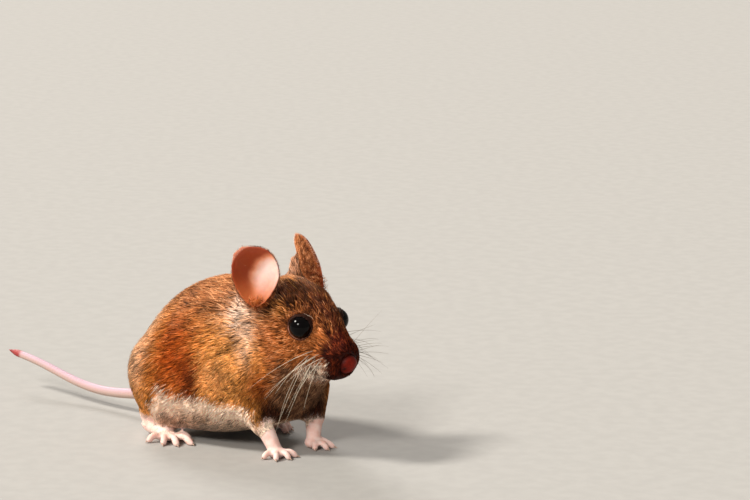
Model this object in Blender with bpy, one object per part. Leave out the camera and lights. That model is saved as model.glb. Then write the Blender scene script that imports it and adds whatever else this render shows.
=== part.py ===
"""A life-size field mouse standing on all fours, as separate closed solids.

The mouse looks along +X with +Y to its left and the floor at Z = 0. Its flesh is modelled as one
body: lofted forms are joined, remeshed and smoothed, then parted by thin cuts into head, neck,
trunk and legs. Ears, eyes, nose, feet and tail are solids of their own. Every outline includes the
depth of the coat. Lengths below are in metres, written as multiples of a millimetre.
"""

import math

import bmesh
import bpy
import numpy as np
from mathutils import Matrix, Vector

MM = 0.001
GAP = 0.3 * MM  # clearance between solids that touch in life
SIDES = {"right": -1, "left": 1}

# Head, in its own frame: X to the nose, Z up through the skull, origin midway between the eyes.
HEAD_HEIGHT = 29.5 * MM  # eyes above the floor
HEAD_PITCH = math.radians(25)  # nose down
HEAD_ROLL = math.radians(-0.5)  # positive lifts the left side
SNOUT_REACH = 12.2  # eyes to the tip of the muzzle, mm
EYE_RADIUS = 2.6
EYE_SPREAD = 5.75  # eye centre from the midline, mm
EYE_LIFT = 0.2
PAD_CENTRE = (6.8, 3.3, -3.8)
PAD_RADII = (4.4, 2.8, 3.9)
NOSE_CENTRE = (11.1, 0.0, -3.3)
NOSE_RADII = (1.9, 2.3, 2.3)

# Ear: a cupped oval shell whose rim reaches furthest between its top and its back.
EAR_HEIGHT = 12.8 * MM
EAR_WIDTH = 11.0 * MM
EAR_THICKNESS = 0.6 * MM
EAR_CUP = 2.15 * MM  # depth of the hollow halfway up
EAR_FADE = 0.88  # how much shallower than that it is at the top, and deeper at the root
EAR_CORNER = 0.26  # how far the upper back corner reaches past the oval
EAR_FACING = math.radians(63.5)  # outward turn from straight ahead
EAR_LEAN = math.radians(6)  # backward tilt
EAR_ROOTS = {"right": (-11.2, 7.2, -1.0), "left": (-11.8, 7.2, -0.3)}  # in the head's frame, mm
EAR_TUFTS = (  # centre and radii of the thick fur on its back, in the ear's frame, Y backwards, mm
    ((-1.4, 3.4, 2.7), (1.9, 3.0, 3.6)),
    ((-2.3, 0.0, 2.0), (2.0, 3.6, 3.6)),
)

# Trunk, measured along X from the eyes, mm.
RUMP_X = -51.8
CHEST_X = -2.5

# Legs, in mm, with Y outwards from the midline. Toes are the places of their tips, outermost first.
# Each leg is parted from the trunk by an oval cylinder across the body, kept beyond a distance
# from the midline; its plug holds the cylinder's centre (X, Z), half axes and forward tilt.
FORE_LEGS = {
    "right": {
        "shoulder": (-16, 8.0, 20),
        "elbow": (-14.2, 8.9, 10.4),
        "wrist": (-9.0, 7.8, 6.0),
        "palm": (-5.6, 7.6, 1.1),
        "toes": ((-6.2, 11.6), (-2.6, 10.8), (-1.2, 7.6), (-1.8, 4.6)),
        "plug": ((-12.5, 12.0), (6.6, 11.5), 28),
    },
    "left": {
        "shoulder": (-15, 8.0, 20),
        "elbow": (-8.4, 8.0, 13.5),
        "wrist": (-7.3, 6.0, 5.6),
        "palm": (-6.2, 4.6, 1.1),
        "toes": ((-4.6, 8.4), (-1.6, 7.0), (-1.2, 4.4), (-3.2, 2.2)),
        "plug": ((-11.0, 12.0), (7.2, 11.5), 28),
    },
}
HIND_LEGS = {
    "right": {
        "thigh": (-37.2, 8.7, 13.4),
        "knee": (-37.0, 10.5, 12.0),
        "ankle": (-42.6, 10.8, 4.6),
        "ball": (-35.2, 12.8, 1.0),
        "toes": ((-36.2, 18.2), (-31.2, 17.8), (-28.2, 16.0), (-26.4, 12.8), (-30.2, 9.6)),
        "plug": ((-37.5, 12.0), (12.5, 13.0), 0),
    },
    "left": {
        "thigh": (-35.0, 8.7, 13.4),
        "knee": (-31.0, 10.5, 11.0),
        "ankle": (-33.7, 10.6, 4.6),
        "ball": (-26.8, 11.0, 1.0),
        "toes": ((-27.0, 15.8), (-22.4, 14.4), (-20.2, 12.4), (-18.8, 9.6), (-22.4, 7.2)),
        "plug": ((-35.5, 12.0), (12.5, 13.0), 0),
    },
}
FORE_INNER = 3.2  # the chest's half width between the forelegs
HIND_INNER = 5.0

# Planes that part the flesh: a point (X, Z) and how far the plane leans back from upright, going up.
HEAD_CUT = ((-12.0, 31.6), 28.7)
NECK_CUT = ((-15.0, 26.5), 35.8)

# Tail: a blunt stump, shorter than a whole tail. Heights are above the floor, from root to tip.
TAIL_START = -47.0
TAIL_END = -103.5
TAIL_HEIGHTS = ((0, 6.6), (0.25, 4.6), (0.44, 4.0), (0.6, 4.8), (0.76, 6.7), (0.88, 8.1), (1, 8.7))
TAIL_RADII = (1.3, 0.85)

# Mesh resolution of the joined flesh.
BODY_VOXEL = 0.8 * MM
BODY_SMOOTHING = 6
BODY_TRIANGLES = 2540
FOOT_VOXEL = 0.25 * MM
FOOT_TRIANGLES = 410

COLOURS = {
    "fur": ((0.42, 0.17, 0.05), 0.85),
    "bare_skin": ((0.80, 0.50, 0.45), 0.55),
    "ear": ((0.55, 0.28, 0.20), 0.65),
    "eye": ((0.01, 0.01, 0.01), 0.05),
    "nose": ((0.20, 0.05, 0.04), 0.35),
    "tail_skin": ((0.72, 0.52, 0.52), 0.6),
    "raw_tip": ((0.55, 0.08, 0.07), 0.45),
}


def clear_scene():
    for item in list(bpy.data.objects):
        bpy.data.objects.remove(item, do_unlink=True)


def material(name):
    """The Principled material of that name, made once."""
    found = bpy.data.materials.get(name)
    if found:
        return found
    made = bpy.data.materials.new(name)
    made.use_nodes = True
    colour, roughness = COLOURS[name]
    shader = made.node_tree.nodes["Principled BSDF"]
    shader.inputs["Base Color"].default_value = (*colour, 1)
    shader.inputs["Roughness"].default_value = roughness
    shader.inputs["Metallic"].default_value = 0
    return made


def smooth_curve(knots, places):
    """Values at places of a smooth curve through knots, (place, value) pairs in order.

    Each stretch is a cubic whose slopes at its knots are the mean slope on either side.
    """
    x, y = (np.array(column, float) for column in zip(*knots))
    slopes = np.gradient(y, x)
    places = np.clip(np.asarray(places, float), x[0], x[-1])
    i = np.clip(np.searchsorted(x, places) - 1, 0, len(x) - 2)
    step = x[i + 1] - x[i]
    t = (places - x[i]) / step
    return (
        (2 * t**3 - 3 * t**2 + 1) * y[i]
        + (t**3 - 2 * t**2 + t) * step * slopes[i]
        + (3 * t**2 - 2 * t**3) * y[i + 1]
        + (t**3 - t**2) * step * slopes[i + 1]
    )


def rounded_places(start, end, count, roundness=0.5):
    """Places from start to end that crowd towards both, and how full a round-ended form is there."""
    angles = np.linspace(0, math.pi, count + 2)[1:-1]
    return start + (end - start) * (1 - np.cos(angles)) / 2, np.sin(angles) ** roundness


def closed_tube(rings, first=None, last=None):
    """A bmesh skin over rings of points, closed at each end by a fan to a pole or by one flat face."""
    mesh = bmesh.new()
    loops = [[mesh.verts.new(point) for point in ring] for ring in rings]
    sides = len(loops[0])
    for lower, upper in zip(loops, loops[1:]):
        for i in range(sides):
            j = (i + 1) % sides
            mesh.faces.new((lower[i], lower[j], upper[j], upper[i]))
    for loop, pole in ((loops[0], first), (loops[-1], last)):
        if pole is None:
            mesh.faces.new(loop)
            continue
        tip = mesh.verts.new(pole)
        for i in range(sides):
            mesh.faces.new((loop[i], loop[(i + 1) % sides], tip))
    bmesh.ops.recalc_face_normals(mesh, faces=mesh.faces)
    return mesh


def profiled_form(
    start, end, top, bottom, width, middle=0.5, count=22, sides=28, roundness=0.5, flat=1.0
):
    """A form along X whose top line, bottom line and half width are smooth curves through knots.

    Each section is two half ellipses that meet at its widest height, a share middle of the way up.
    A flat below 1 squares the lower half. Lengths are given in mm.
    """
    start, end = start * MM, end * MM
    top, bottom, width = (
        [(x * MM, value * MM) for x, value in knots] for knots in (top, bottom, width)
    )
    places, fullness = rounded_places(start, end, count, roundness)
    highs, lows, halves = (smooth_curve(knots, places) for knots in (top, bottom, width))
    waists = lows + (highs - lows) * middle
    rings = []
    for x, full, high, low, half, waist in zip(places, fullness, highs, lows, halves, waists):
        ring = []
        for k in range(sides):
            across, rise = math.cos(2 * math.pi * k / sides), math.sin(2 * math.pi * k / sides)
            reach = (high - waist if rise > 0 else waist - low) * full
            if rise < 0:
                across = math.copysign(abs(across) ** flat, across)
                rise = -(abs(rise) ** flat)
            ring.append((x, half * full * across, waist + reach * rise))
        rings.append(ring)
    return closed_tube(rings, (start, 0, float(waists[0])), (end, 0, float(waists[-1])))


def limb(points, radii, sides=14, flatten=1.0, steps=12, blunt=(0.6, 0.6)):
    """A round-ended tube along a smooth curve through points, with a radius at each point.

    flatten scales its width across the level direction; blunt is each end cap's bulge in radii.
    """
    knots = np.linspace(0, 1, len(points))
    places = np.linspace(0, 1, steps)
    path = np.stack(
        [smooth_curve(list(zip(knots, column)), places) for column in zip(*points)], axis=1
    )
    sizes = smooth_curve(list(zip(knots, radii)), places)
    tangents = np.gradient(path, axis=0)
    rings = []
    for centre, tangent, radius in zip(path, tangents, sizes):
        along = Vector(tangent).normalized()
        level = along.cross(Vector((0, 0, 1)))
        level = level.normalized() if level.length > 0.1 else Vector((0, 1, 0))
        across = level.cross(along)
        rings.append(
            [
                Vector(centre)
                + level * (radius * flatten * math.cos(2 * math.pi * k / sides))
                + across * (radius * math.sin(2 * math.pi * k / sides))
                for k in range(sides)
            ]
        )
    ends = [
        Vector(path[i]) + Vector(tangents[i]).normalized() * (sign * blunt[i] * float(sizes[i]))
        for i, sign in ((0, -1), (-1, 1))
    ]
    return closed_tube(rings, *ends)


def ellipsoid(centre, radii, turn=None, segments=24, rings=14):
    """A bmesh ball stretched to radii, turned by a matrix and placed at centre."""
    mesh = bmesh.new()
    place = Matrix.Translation(centre)
    if turn is not None:
        place = place @ turn.to_4x4()
    place = place @ Matrix.Diagonal((*radii, 1))
    bmesh.ops.create_uvsphere(mesh, u_segments=segments, v_segments=rings, radius=1, matrix=place)
    return mesh


def head_matrix():
    """From the head's own frame to the body's."""
    turn = Matrix.Rotation(HEAD_ROLL, 4, "X") @ Matrix.Rotation(HEAD_PITCH, 4, "Y")
    return Matrix.Translation((0, 0, HEAD_HEIGHT)) @ turn


def joined(forms):
    """One bmesh holding every form's faces."""
    whole = bmesh.new()
    for form in forms:
        part = bpy.data.meshes.new("part")
        form.to_mesh(part)
        form.free()
        whole.from_mesh(part)
        bpy.data.meshes.remove(part)
    return whole


def new_object(name, form, finish):
    """An object from a bmesh, which is freed, wearing the material called finish."""
    mesh = bpy.data.meshes.new(name)
    form.to_mesh(mesh)
    form.free()
    mesh.materials.append(material(finish))
    mesh.shade_smooth()
    made = bpy.data.objects.new(name, mesh)
    bpy.context.scene.collection.objects.link(made)
    return made


def baked(obj):
    """A bmesh of the object as its modifiers leave it. The object is removed."""
    bpy.context.view_layer.update()
    graph = bpy.context.evaluated_depsgraph_get()
    form = bmesh.new()
    form.from_object(obj, graph)
    bpy.data.objects.remove(obj, do_unlink=True)
    return form


def blended(forms, voxel, smoothing, triangles):
    """The forms melted into one closed skin of about that many triangles."""
    blank = new_object("blank", joined(forms), "fur")
    remesh = blank.modifiers.new("melt", "REMESH")
    remesh.mode = "VOXEL"
    remesh.voxel_size = voxel
    if smoothing:
        soften = blank.modifiers.new("soften", "SMOOTH")
        soften.factor = 0.5
        soften.iterations = smoothing
    form = baked(blank)
    bmesh.ops.triangulate(form, faces=form.faces)
    share = triangles / len(form.faces)
    blank = new_object("blank", form, "fur")
    if share < 1:
        thin = blank.modifiers.new("thin", "DECIMATE")
        thin.ratio = share
    return baked(blank)


def combined(form, cutter, operation):
    """The closed form after an exact Boolean with the closed cutter. Both are freed."""
    target = new_object("target", form, "fur")
    tool = new_object("tool", cutter, "fur")
    cut = target.modifiers.new("cut", "BOOLEAN")
    cut.operation = operation
    cut.solver = "EXACT"
    cut.object = tool
    result = baked(target)
    bpy.data.objects.remove(tool, do_unlink=True)
    return largest(result)


def largest(form):
    """The form without any scrap that a cut left apart from its main piece."""
    unseen = set(form.verts)
    pieces = []
    while unseen:
        piece, edge = set(), [next(iter(unseen))]
        while edge:
            vert = edge.pop()
            if vert in unseen:
                unseen.remove(vert)
                piece.add(vert)
                edge += [link.other_vert(vert) for link in vert.link_edges]
        pieces.append(piece)
    keep = max(pieces, key=len)
    bmesh.ops.delete(form, geom=[vert for vert in form.verts if vert not in keep], context="VERTS")
    return form


def grown(form, distance):
    """A copy of the form with every point moved out by distance."""
    copy = form.copy()
    copy.normal_update()
    for vert, normal in [(vert, vert.normal.copy()) for vert in copy.verts]:
        vert.co += normal * distance
    return copy


def block(place, toward, size):
    """A box of that size whose near face is centred on place and that reaches away from it."""
    mesh = bmesh.new()
    turn = toward.to_track_quat("Z", "Y").to_matrix().to_4x4()
    shift = Matrix.Translation(Vector(place) + toward.normalized() * (size[2] / 2))
    bmesh.ops.create_cube(mesh, size=1, matrix=shift @ turn @ Matrix.Diagonal((*size, 1)))
    return mesh


def plug(leg, side, inner, spare):
    """An oval cylinder across the body, from inner outwards, larger all round by spare."""
    (x, z), (half, height), tilt = leg["plug"]
    turn = Matrix.Rotation(math.radians(tilt), 4, "Y").inverted()
    start, end = side * (inner * MM - spare), side * 30 * MM
    rings = []
    for y in (start, end):
        ring = []
        for k in range(28):
            angle = 2 * math.pi * k / 28
            across, rise = (half * MM + spare) * math.cos(angle), (height * MM + spare) * math.sin(angle)
            ring.append(turn @ Vector((across, 0, rise)) + Vector((x * MM, y, z * MM)))
        rings.append(ring)
    return closed_tube(rings)


def cut_plane(form, point, normal):
    """Keeps the side of the closed form behind the plane, and closes the cut."""
    geometry = form.verts[:] + form.edges[:] + form.faces[:]
    cut = bmesh.ops.bisect_plane(
        form, geom=geometry, plane_co=point, plane_no=normal, clear_outer=True, dist=1e-7
    )
    edges = [g for g in cut["geom_cut"] if isinstance(g, bmesh.types.BMEdge)]
    bmesh.ops.holes_fill(form, edges=edges, sides=0)
    bmesh.ops.triangulate(form, faces=[f for f in form.faces if len(f.verts) > 4])
    bmesh.ops.recalc_face_normals(form, faces=form.faces)
    return form


def mirrored(point, side):
    """The point, given in millimetres for the left side, on that side in metres."""
    return Vector((point[0], point[1] * side, point[2])) * MM


def head_form():
    """Skull, cheeks and muzzle, with the coat, in the body's frame."""
    form = profiled_form(
        -17,
        SNOUT_REACH,
        [(-17, 5.0), (-12, 6.4), (-8, 6.9), (-4, 6.7), (0, 5.7), (4, 4.2), (8, 2.3), (12.6, 1.0)],
        [(-17, -9.0), (-10, -10.2), (-4, -10.4), (2, -10.2), (7, -10.0), (12.6, -9.0)],
        [(-17, 8.6), (-10, 9.2), (-5, 8.6), (0, 7.1), (3, 6.4), (6, 5.8), (9, 5.3), (12.6, 4.5)],
        middle=0.42,
        count=26,
        roundness=0.42,
    )
    form.transform(head_matrix())
    return form


def whisker_pad(side):
    """The swelling of the muzzle that the whiskers grow from."""
    pad = ellipsoid(mirrored(PAD_CENTRE, side), Vector(PAD_RADII) * MM)
    pad.transform(head_matrix())
    return pad


def ear_matrix(name):
    """From the ear's own frame, X out of its hollow and Z up from its root, to the body's."""
    side = SIDES[name]
    turn = Matrix.Rotation(-EAR_LEAN, 4, "Y") @ Matrix.Rotation(side * EAR_FACING, 4, "Z")
    return Matrix.Translation(head_matrix() @ mirrored(EAR_ROOTS[name], side)) @ turn


def ear_mounds(name):
    """The thick fur around the foot of the ear and up its back."""
    place = head_matrix() @ mirrored((-7.0, 5.0, 1.2), SIDES[name])
    mounds = [ellipsoid(place, Vector((5.0, 3.0, 3.6)) * MM)]
    for centre, radii in EAR_TUFTS:
        tuft = ellipsoid(mirrored(centre, SIDES[name]), Vector(radii) * MM)
        tuft.transform(ear_matrix(name))
        mounds.append(tuft)
    return mounds


def neck_form():
    return profiled_form(
        -26,
        3,
        [(-26, 38.0), (-14, 38.6), (3, 34.5)],
        [(-26, 8.0), (-14, 8.6), (3, 13.0)],
        [(-26, 12.5), (-14, 11.5), (3, 8.0)],
        count=16,
    )


def trunk_form():
    return profiled_form(
        RUMP_X,
        CHEST_X,
        [(-52, 25.5), (-46, 30.6), (-38, 35.0), (-30, 37.2), (-22, 38.4), (-14, 38), (-2.5, 36)],
        [(-52, 4.0), (-44, 2.0), (-34, 1.2), (-26, 1.6), (-16, 3.0), (-9, 3.7), (-2.5, 6.0)],
        [(-52, 13.0), (-44, 15.2), (-34, 16.4), (-24, 15.2), (-14, 13.0), (-2.5, 10.5)],
        middle=0.42,
        count=26,
        sides=32,
        flat=0.72,
    )


def haunch_form(name):
    """The big oval of the thigh, with the shank running down to the ankle."""
    leg, side = HIND_LEGS[name], SIDES[name]
    thigh = ellipsoid(
        mirrored(leg["thigh"], side),
        Vector((12.8, 8.7, 11.3)) * MM,
        Matrix.Rotation(math.radians(20), 3, "Y"),
    )
    knee, end = mirrored(leg["knee"], side), mirrored(leg["ankle"], side)
    calf = knee.lerp(end, 0.55) - Vector((1.2, 0, 0)) * MM
    below = end - Vector((0, 0, 2.5)) * MM
    return joined([thigh, limb([knee, calf, end, below], [5.0 * MM, 3.6 * MM, 2.7 * MM, 2.4 * MM])])


def arm_form(name):
    """The upper arm and the furred part of the forearm, past the wrist by a little."""
    leg, side = FORE_LEGS[name], SIDES[name]
    shoulder, elbow, wrist = (mirrored(leg[key], side) for key in ("shoulder", "elbow", "wrist"))
    beyond = wrist + (wrist - elbow).normalized() * 2 * MM
    radii = [size * MM for size in (6.2, 5.0, 3.4, 2.4, 2.2)]
    return limb([shoulder, shoulder.lerp(elbow, 0.6), elbow, wrist, beyond], radii, steps=14)


def toe(base, tip, radius, lift):
    """One digit with its claw: it arches up from base and comes down to a point on the floor."""
    middle = base.lerp(tip, 0.45) + Vector((0, 0, lift))
    pad = base.lerp(tip, 0.8)
    pad.z = radius * 0.66
    return limb([base, middle, pad, tip], [radius, radius * 0.92, radius, 0.3 * MM], sides=10, steps=9)


def toes_of(palm, tips, spread, radius, lift, side):
    """Digits fanned out from around the palm's centre to their tips."""
    toes = []
    for tip in tips:
        base = Vector(palm).lerp(Vector((*tip, palm[2])), spread)
        toes.append(toe(mirrored(base, side), mirrored((*tip, 0.3), side), radius, lift))
    return toes


def fore_foot_form(name):
    """The bare forearm, the palm and four toes with claws."""
    leg, side = FORE_LEGS[name], SIDES[name]
    elbow, wrist, palm = (mirrored(leg[key], side) for key in ("elbow", "wrist", "palm"))
    above = wrist.lerp(elbow, 0.4)
    radii = [size * MM for size in (2.0, 1.95, 1.65, 1.4)]
    arm = limb([above, wrist, wrist.lerp(palm, 0.7), palm], radii)
    pad = ellipsoid(palm, Vector((2.1, 2.1, 1.35)) * MM)
    return joined([arm, pad, *toes_of(leg["palm"], leg["toes"], 0.3, 0.75 * MM, 0.7 * MM, side)])


def sole_forms(name, spare=0.0):
    """The foot from the ankle to its ball, and the pad under the toes' roots."""
    leg, side = HIND_LEGS[name], SIDES[name]
    ankle, ball = mirrored(leg["ankle"], side), mirrored(leg["ball"], side)
    above = ankle + Vector((1.0, 0, 2.5)) * MM
    heel = ankle + Vector((-0.3, 0, -2.4)) * MM
    radii = [size * MM + spare for size in (2.2, 2.0, 1.75, 1.4, 1.2)]
    pad = Vector([size * MM + spare for size in (2.4, 2.4, 1.25)])
    return [
        limb([above, ankle, heel, heel.lerp(ball, 0.55), ball], radii, flatten=1.15),
        ellipsoid(ball, pad, segments=16, rings=8),
    ]


def hind_foot_form(name):
    """The bare hind foot from the ankle, and five toes with claws."""
    leg, side = HIND_LEGS[name], SIDES[name]
    toes = toes_of(leg["ball"], leg["toes"], 0.35, 0.85 * MM, 0.9 * MM, side)
    return joined([*sole_forms(name), *toes])


def ear_form(name):
    """A cupped shell, hollow side outwards, narrowing to its root.

    Spokes start at the middle of its back edge and pass its top first.
    """
    rings, spokes = 5, 18
    mesh = bmesh.new()
    edges = []
    for shift in (0.0, -EAR_THICKNESS):
        centre = mesh.verts.new((shift, 0, EAR_HEIGHT / 2))
        loops = []
        for i in range(1, rings + 1):
            loop = []
            for k in range(spokes):
                angle = 2 * math.pi * k / spokes
                corner = math.sin(2 * angle) ** 2 if 4 * k < spokes else 0.0
                share = i / rings * (1 + EAR_CORNER * corner)
                back, rise = math.cos(angle) * share, math.sin(angle) * share
                across = SIDES[name] * back * (1 - 0.28 * max(0.0, -rise)) * EAR_WIDTH / 2
                depth = EAR_CUP * (i / rings) ** 2 * (1 - EAR_FADE * rise) + shift
                loop.append(mesh.verts.new((depth, across, (1 + rise) * EAR_HEIGHT / 2)))
            loops.append(loop)
        for k in range(spokes):
            mesh.faces.new((centre, loops[0][k], loops[0][(k + 1) % spokes]))
        for inner, outer in zip(loops, loops[1:]):
            for k in range(spokes):
                after = (k + 1) % spokes
                mesh.faces.new((inner[k], outer[k], outer[after], inner[after]))
        edges.append(loops[-1])
    for k in range(spokes):
        after = (k + 1) % spokes
        mesh.faces.new((edges[0][k], edges[1][k], edges[1][after], edges[0][after]))
    bmesh.ops.recalc_face_normals(mesh, faces=mesh.faces)
    mesh.transform(ear_matrix(name))
    return mesh


def tail_line(start, end):
    """Points along the tail between two shares of its length, and the radius at each."""
    shares = np.linspace(start, end, 9)
    heights = smooth_curve(TAIL_HEIGHTS, shares)
    places = TAIL_START + (TAIL_END - TAIL_START) * shares
    points = [Vector((x, 0, z)) * MM for x, z in zip(places, heights)]
    return points, (TAIL_RADII[0] + (TAIL_RADII[1] - TAIL_RADII[0]) * shares) * MM


def parted(form, cut):
    """The form's two sides of a plane across the body, front and back, with a gap between."""
    (x, z), lean = cut
    normal = Vector((math.cos(math.radians(lean)), 0, math.sin(math.radians(lean))))
    point = Vector((x, 0, z)) * MM
    back = cut_plane(form.copy(), point - normal * GAP / 2, normal)
    return cut_plane(form, point + normal * GAP / 2, -normal), back


def flesh():
    """Head, neck, trunk and the furred limbs as one skin."""
    forms = [head_form(), neck_form(), trunk_form()]
    for name, side in SIDES.items():
        forms += [whisker_pad(side), *ear_mounds(name), haunch_form(name), arm_form(name)]
    return blended(forms, BODY_VOXEL, BODY_SMOOTHING, BODY_TRIANGLES)


def eye_form(side, spare=0.0):
    centre = head_matrix() @ mirrored((0, EYE_SPREAD, EYE_LIFT), side)
    return ellipsoid(centre, (EYE_RADIUS * MM + spare,) * 3, segments=16, rings=9)


def nose_form(spare=0.0):
    radii = Vector([size * MM + spare for size in NOSE_RADII])
    form = ellipsoid(mirrored(NOSE_CENTRE, 1), radii, segments=16, rings=8)
    form.transform(head_matrix())
    return form


def build_feet(name):
    """The bare feet, cut level with the floor and square to the limb they continue."""
    side = SIDES[name]
    leg = FORE_LEGS[name]
    elbow, wrist = mirrored(leg["elbow"], side), mirrored(leg["wrist"], side)
    up = (elbow - wrist).normalized()
    foot = blended([fore_foot_form(name)], FOOT_VOXEL, 2, FOOT_TRIANGLES)
    foot = cut_plane(foot, wrist - up * GAP / 2, up)
    new_object(f"forepaw_{name}", cut_plane(foot, Vector(), Vector((0, 0, -1))), "bare_skin")
    ankle = mirrored(HIND_LEGS[name]["ankle"], side)
    foot = blended([hind_foot_form(name)], FOOT_VOXEL, 2, FOOT_TRIANGLES)
    foot = cut_plane(foot, ankle - Vector((0, 0, GAP / 2)), Vector((0, 0, 1)))
    new_object(f"hindfoot_{name}", cut_plane(foot, Vector(), Vector((0, 0, -1))), "bare_skin")


def build_flesh():
    """The furred nodes: sockets and wrists are cut first, then the legs, then head from neck from trunk."""
    body = flesh()
    shell = grown(body, GAP)
    for name, side in SIDES.items():
        ear = combined(ear_form(name), shell.copy(), "DIFFERENCE")
        new_object(f"ear_{name}", ear, "ear")
        body = combined(body, eye_form(side, GAP), "DIFFERENCE")
        leg = FORE_LEGS[name]
        elbow, wrist = mirrored(leg["elbow"], side), mirrored(leg["wrist"], side)
        down = (wrist - elbow).normalized()
        size = Vector((5.6, 5.6, 6)) * MM
        body = combined(body, block(wrist + down * GAP / 2, down, size), "DIFFERENCE")
        ankle = mirrored(HIND_LEGS[name]["ankle"], side) + Vector((0, 0, GAP / 2))
        for cutter in (block(ankle, Vector((0, 0, -1)), size * 1.2), *sole_forms(name, 1.2 * GAP)):
            body = combined(body, cutter, "DIFFERENCE")
    shell.free()
    body = combined(body, nose_form(GAP), "DIFFERENCE")
    points, radii = tail_line(-0.03, 0.25)
    body = combined(body, limb(points, radii + GAP, sides=16), "DIFFERENCE")
    for name, side in SIDES.items():
        legs = (("fore", FORE_LEGS[name], FORE_INNER), ("hind", HIND_LEGS[name], HIND_INNER))
        for kind, leg, inner in legs:
            part = combined(body.copy(), plug(leg, side, inner, 0.0), "INTERSECT")
            new_object(f"{kind}leg_{name}", part, "fur")
            body = combined(body, plug(leg, side, inner, GAP), "DIFFERENCE")
    head, body = parted(body, HEAD_CUT)
    neck, trunk = parted(body, NECK_CUT)
    for name, part in (("head", head), ("neck", neck), ("trunk", trunk)):
        new_object(name, largest(part), "fur")


def build_tail():
    """Three lengths, the last one raw."""
    for name, start, end, finish in (
        ("tail_base", 0.0, 0.45, "tail_skin"),
        ("tail_middle", 0.46, 0.93, "tail_skin"),
        ("tail_tip", 0.94, 1.0, "raw_tip"),
    ):
        points, radii = tail_line(start, end)
        blunt = (0.0, 0.9) if name == "tail_tip" else (0.0, 0.0)
        new_object(name, limb(points, radii, sides=10, steps=8, blunt=blunt), finish)


def centre_all():
    """Gives every node its own origin, and parents all to one empty placed so that the middle of
    their box is over the scene's origin."""
    nodes = [item for item in bpy.data.objects if item.type == "MESH"]
    corners = []
    for node in nodes:
        points = np.array([vert.co for vert in node.data.vertices])
        corners += [points.min(axis=0), points.max(axis=0)]
        centre = Vector((corners[-2] + corners[-1]) / 2)
        node.data.transform(Matrix.Translation(-centre))
        node.location = centre
    middle = (np.min(corners, axis=0) + np.max(corners, axis=0)) / 2
    mouse = bpy.data.objects.new("mouse", None)
    bpy.context.scene.collection.objects.link(mouse)
    mouse.location = (-middle[0], -middle[1], 0)
    for node in nodes:
        node.parent = mouse


def main():
    clear_scene()
    build_flesh()
    for name, side in SIDES.items():
        build_feet(name)
        new_object(f"eye_{name}", eye_form(side), "eye")
    new_object("nose", nose_form(), "nose")
    build_tail()
    centre_all()


main()
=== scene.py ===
"""The looks of the field mouse: one skin under a coat of fine tufts, with its ears, eyes, nose, whiskers,
claws and tail, and the plain studio that it stands in. Lengths are in millimetres until a mesh is made."""

import functools
import itertools
import math

import bpy
import numpy as np
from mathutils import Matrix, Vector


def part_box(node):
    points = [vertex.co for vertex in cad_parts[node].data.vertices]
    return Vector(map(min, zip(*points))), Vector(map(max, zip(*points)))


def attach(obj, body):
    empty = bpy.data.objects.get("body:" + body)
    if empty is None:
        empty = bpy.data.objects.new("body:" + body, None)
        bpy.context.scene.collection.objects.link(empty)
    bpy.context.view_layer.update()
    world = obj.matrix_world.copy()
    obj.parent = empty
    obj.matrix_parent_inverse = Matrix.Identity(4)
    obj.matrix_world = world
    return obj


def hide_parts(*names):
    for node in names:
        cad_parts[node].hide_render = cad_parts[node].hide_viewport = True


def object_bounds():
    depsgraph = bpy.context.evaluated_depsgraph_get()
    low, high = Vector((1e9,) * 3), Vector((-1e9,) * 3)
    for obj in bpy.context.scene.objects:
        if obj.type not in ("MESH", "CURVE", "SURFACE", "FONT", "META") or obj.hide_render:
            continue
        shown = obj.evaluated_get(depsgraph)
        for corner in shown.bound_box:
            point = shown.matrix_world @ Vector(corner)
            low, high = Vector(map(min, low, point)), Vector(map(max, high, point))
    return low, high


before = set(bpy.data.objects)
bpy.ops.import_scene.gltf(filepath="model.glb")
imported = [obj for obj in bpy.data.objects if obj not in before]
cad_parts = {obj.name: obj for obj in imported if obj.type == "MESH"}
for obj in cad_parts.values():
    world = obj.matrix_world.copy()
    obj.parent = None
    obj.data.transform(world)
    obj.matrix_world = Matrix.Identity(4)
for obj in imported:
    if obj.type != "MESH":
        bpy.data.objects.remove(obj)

import openvdb
from bpy.props import FloatProperty, FloatVectorProperty, PointerProperty
from mathutils import Vector

bl_info = {
    "name": "Field mouse",
    "version": (1, 0, 0),
    "blender": (4, 5, 0),
    "location": "View3D > Sidebar > Field mouse",
    "description": "Dresses the solid field mouse in its skin, coat, whiskers and claws",
    "category": "Object",
}

CAD_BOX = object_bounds()
MM = 0.001
SIDES = {"right": -1, "left": 1}
FEET = ("forepaw_right", "forepaw_left", "hindfoot_right", "hindfoot_left")
LEGS = ("foreleg_right", "foreleg_left", "hindleg_right", "hindleg_left")
FLESH = ("head", "neck", "trunk", *LEGS, *FEET)
EARS = ("ear_right", "ear_left")
TAIL = ("tail_base", "tail_middle", "tail_tip")
STEP = 0.25  # edge of a cube of the body's distance grid
REACH = 3.0  # how far from the surface that grid knows its distance
MOST_TUFTS = 19800  # in one piece, of ten triangles each
TUFT_POINTS = 7  # three at the root, three at the bend and the tip
TUFT_FACES = np.array([
    (0, 1, 2), (0, 3, 4), (0, 4, 1), (1, 4, 5), (1, 5, 2),
    (2, 5, 3), (2, 3, 0), (3, 6, 4), (4, 6, 5), (5, 6, 3),
])
TUFT_MAP = np.array([(0, 0), (0.5, 0.08), (1, 0), (0, 0.45), (0.5, 0.5), (1, 0.45), (0.5, 1)])
PATCH = 0.003  # side of one tuft's place on the coat's map
ROOT_UNDER = 0.12  # how far under the skin a tuft starts
ROOT_WIDTH = 0.7  # its width there, as a share of that at the bend
CREST = 0.4  # how high its middle stands, as a share of its width
BEND = 0.42  # how far along a tuft it bends
BEND_HEIGHT = 0.55  # how high the bend stands, as a share of the tip's height


def unit(vectors):
    """The same directions, each one long."""
    return vectors / np.linalg.norm(vectors, axis=-1, keepdims=True)


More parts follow.
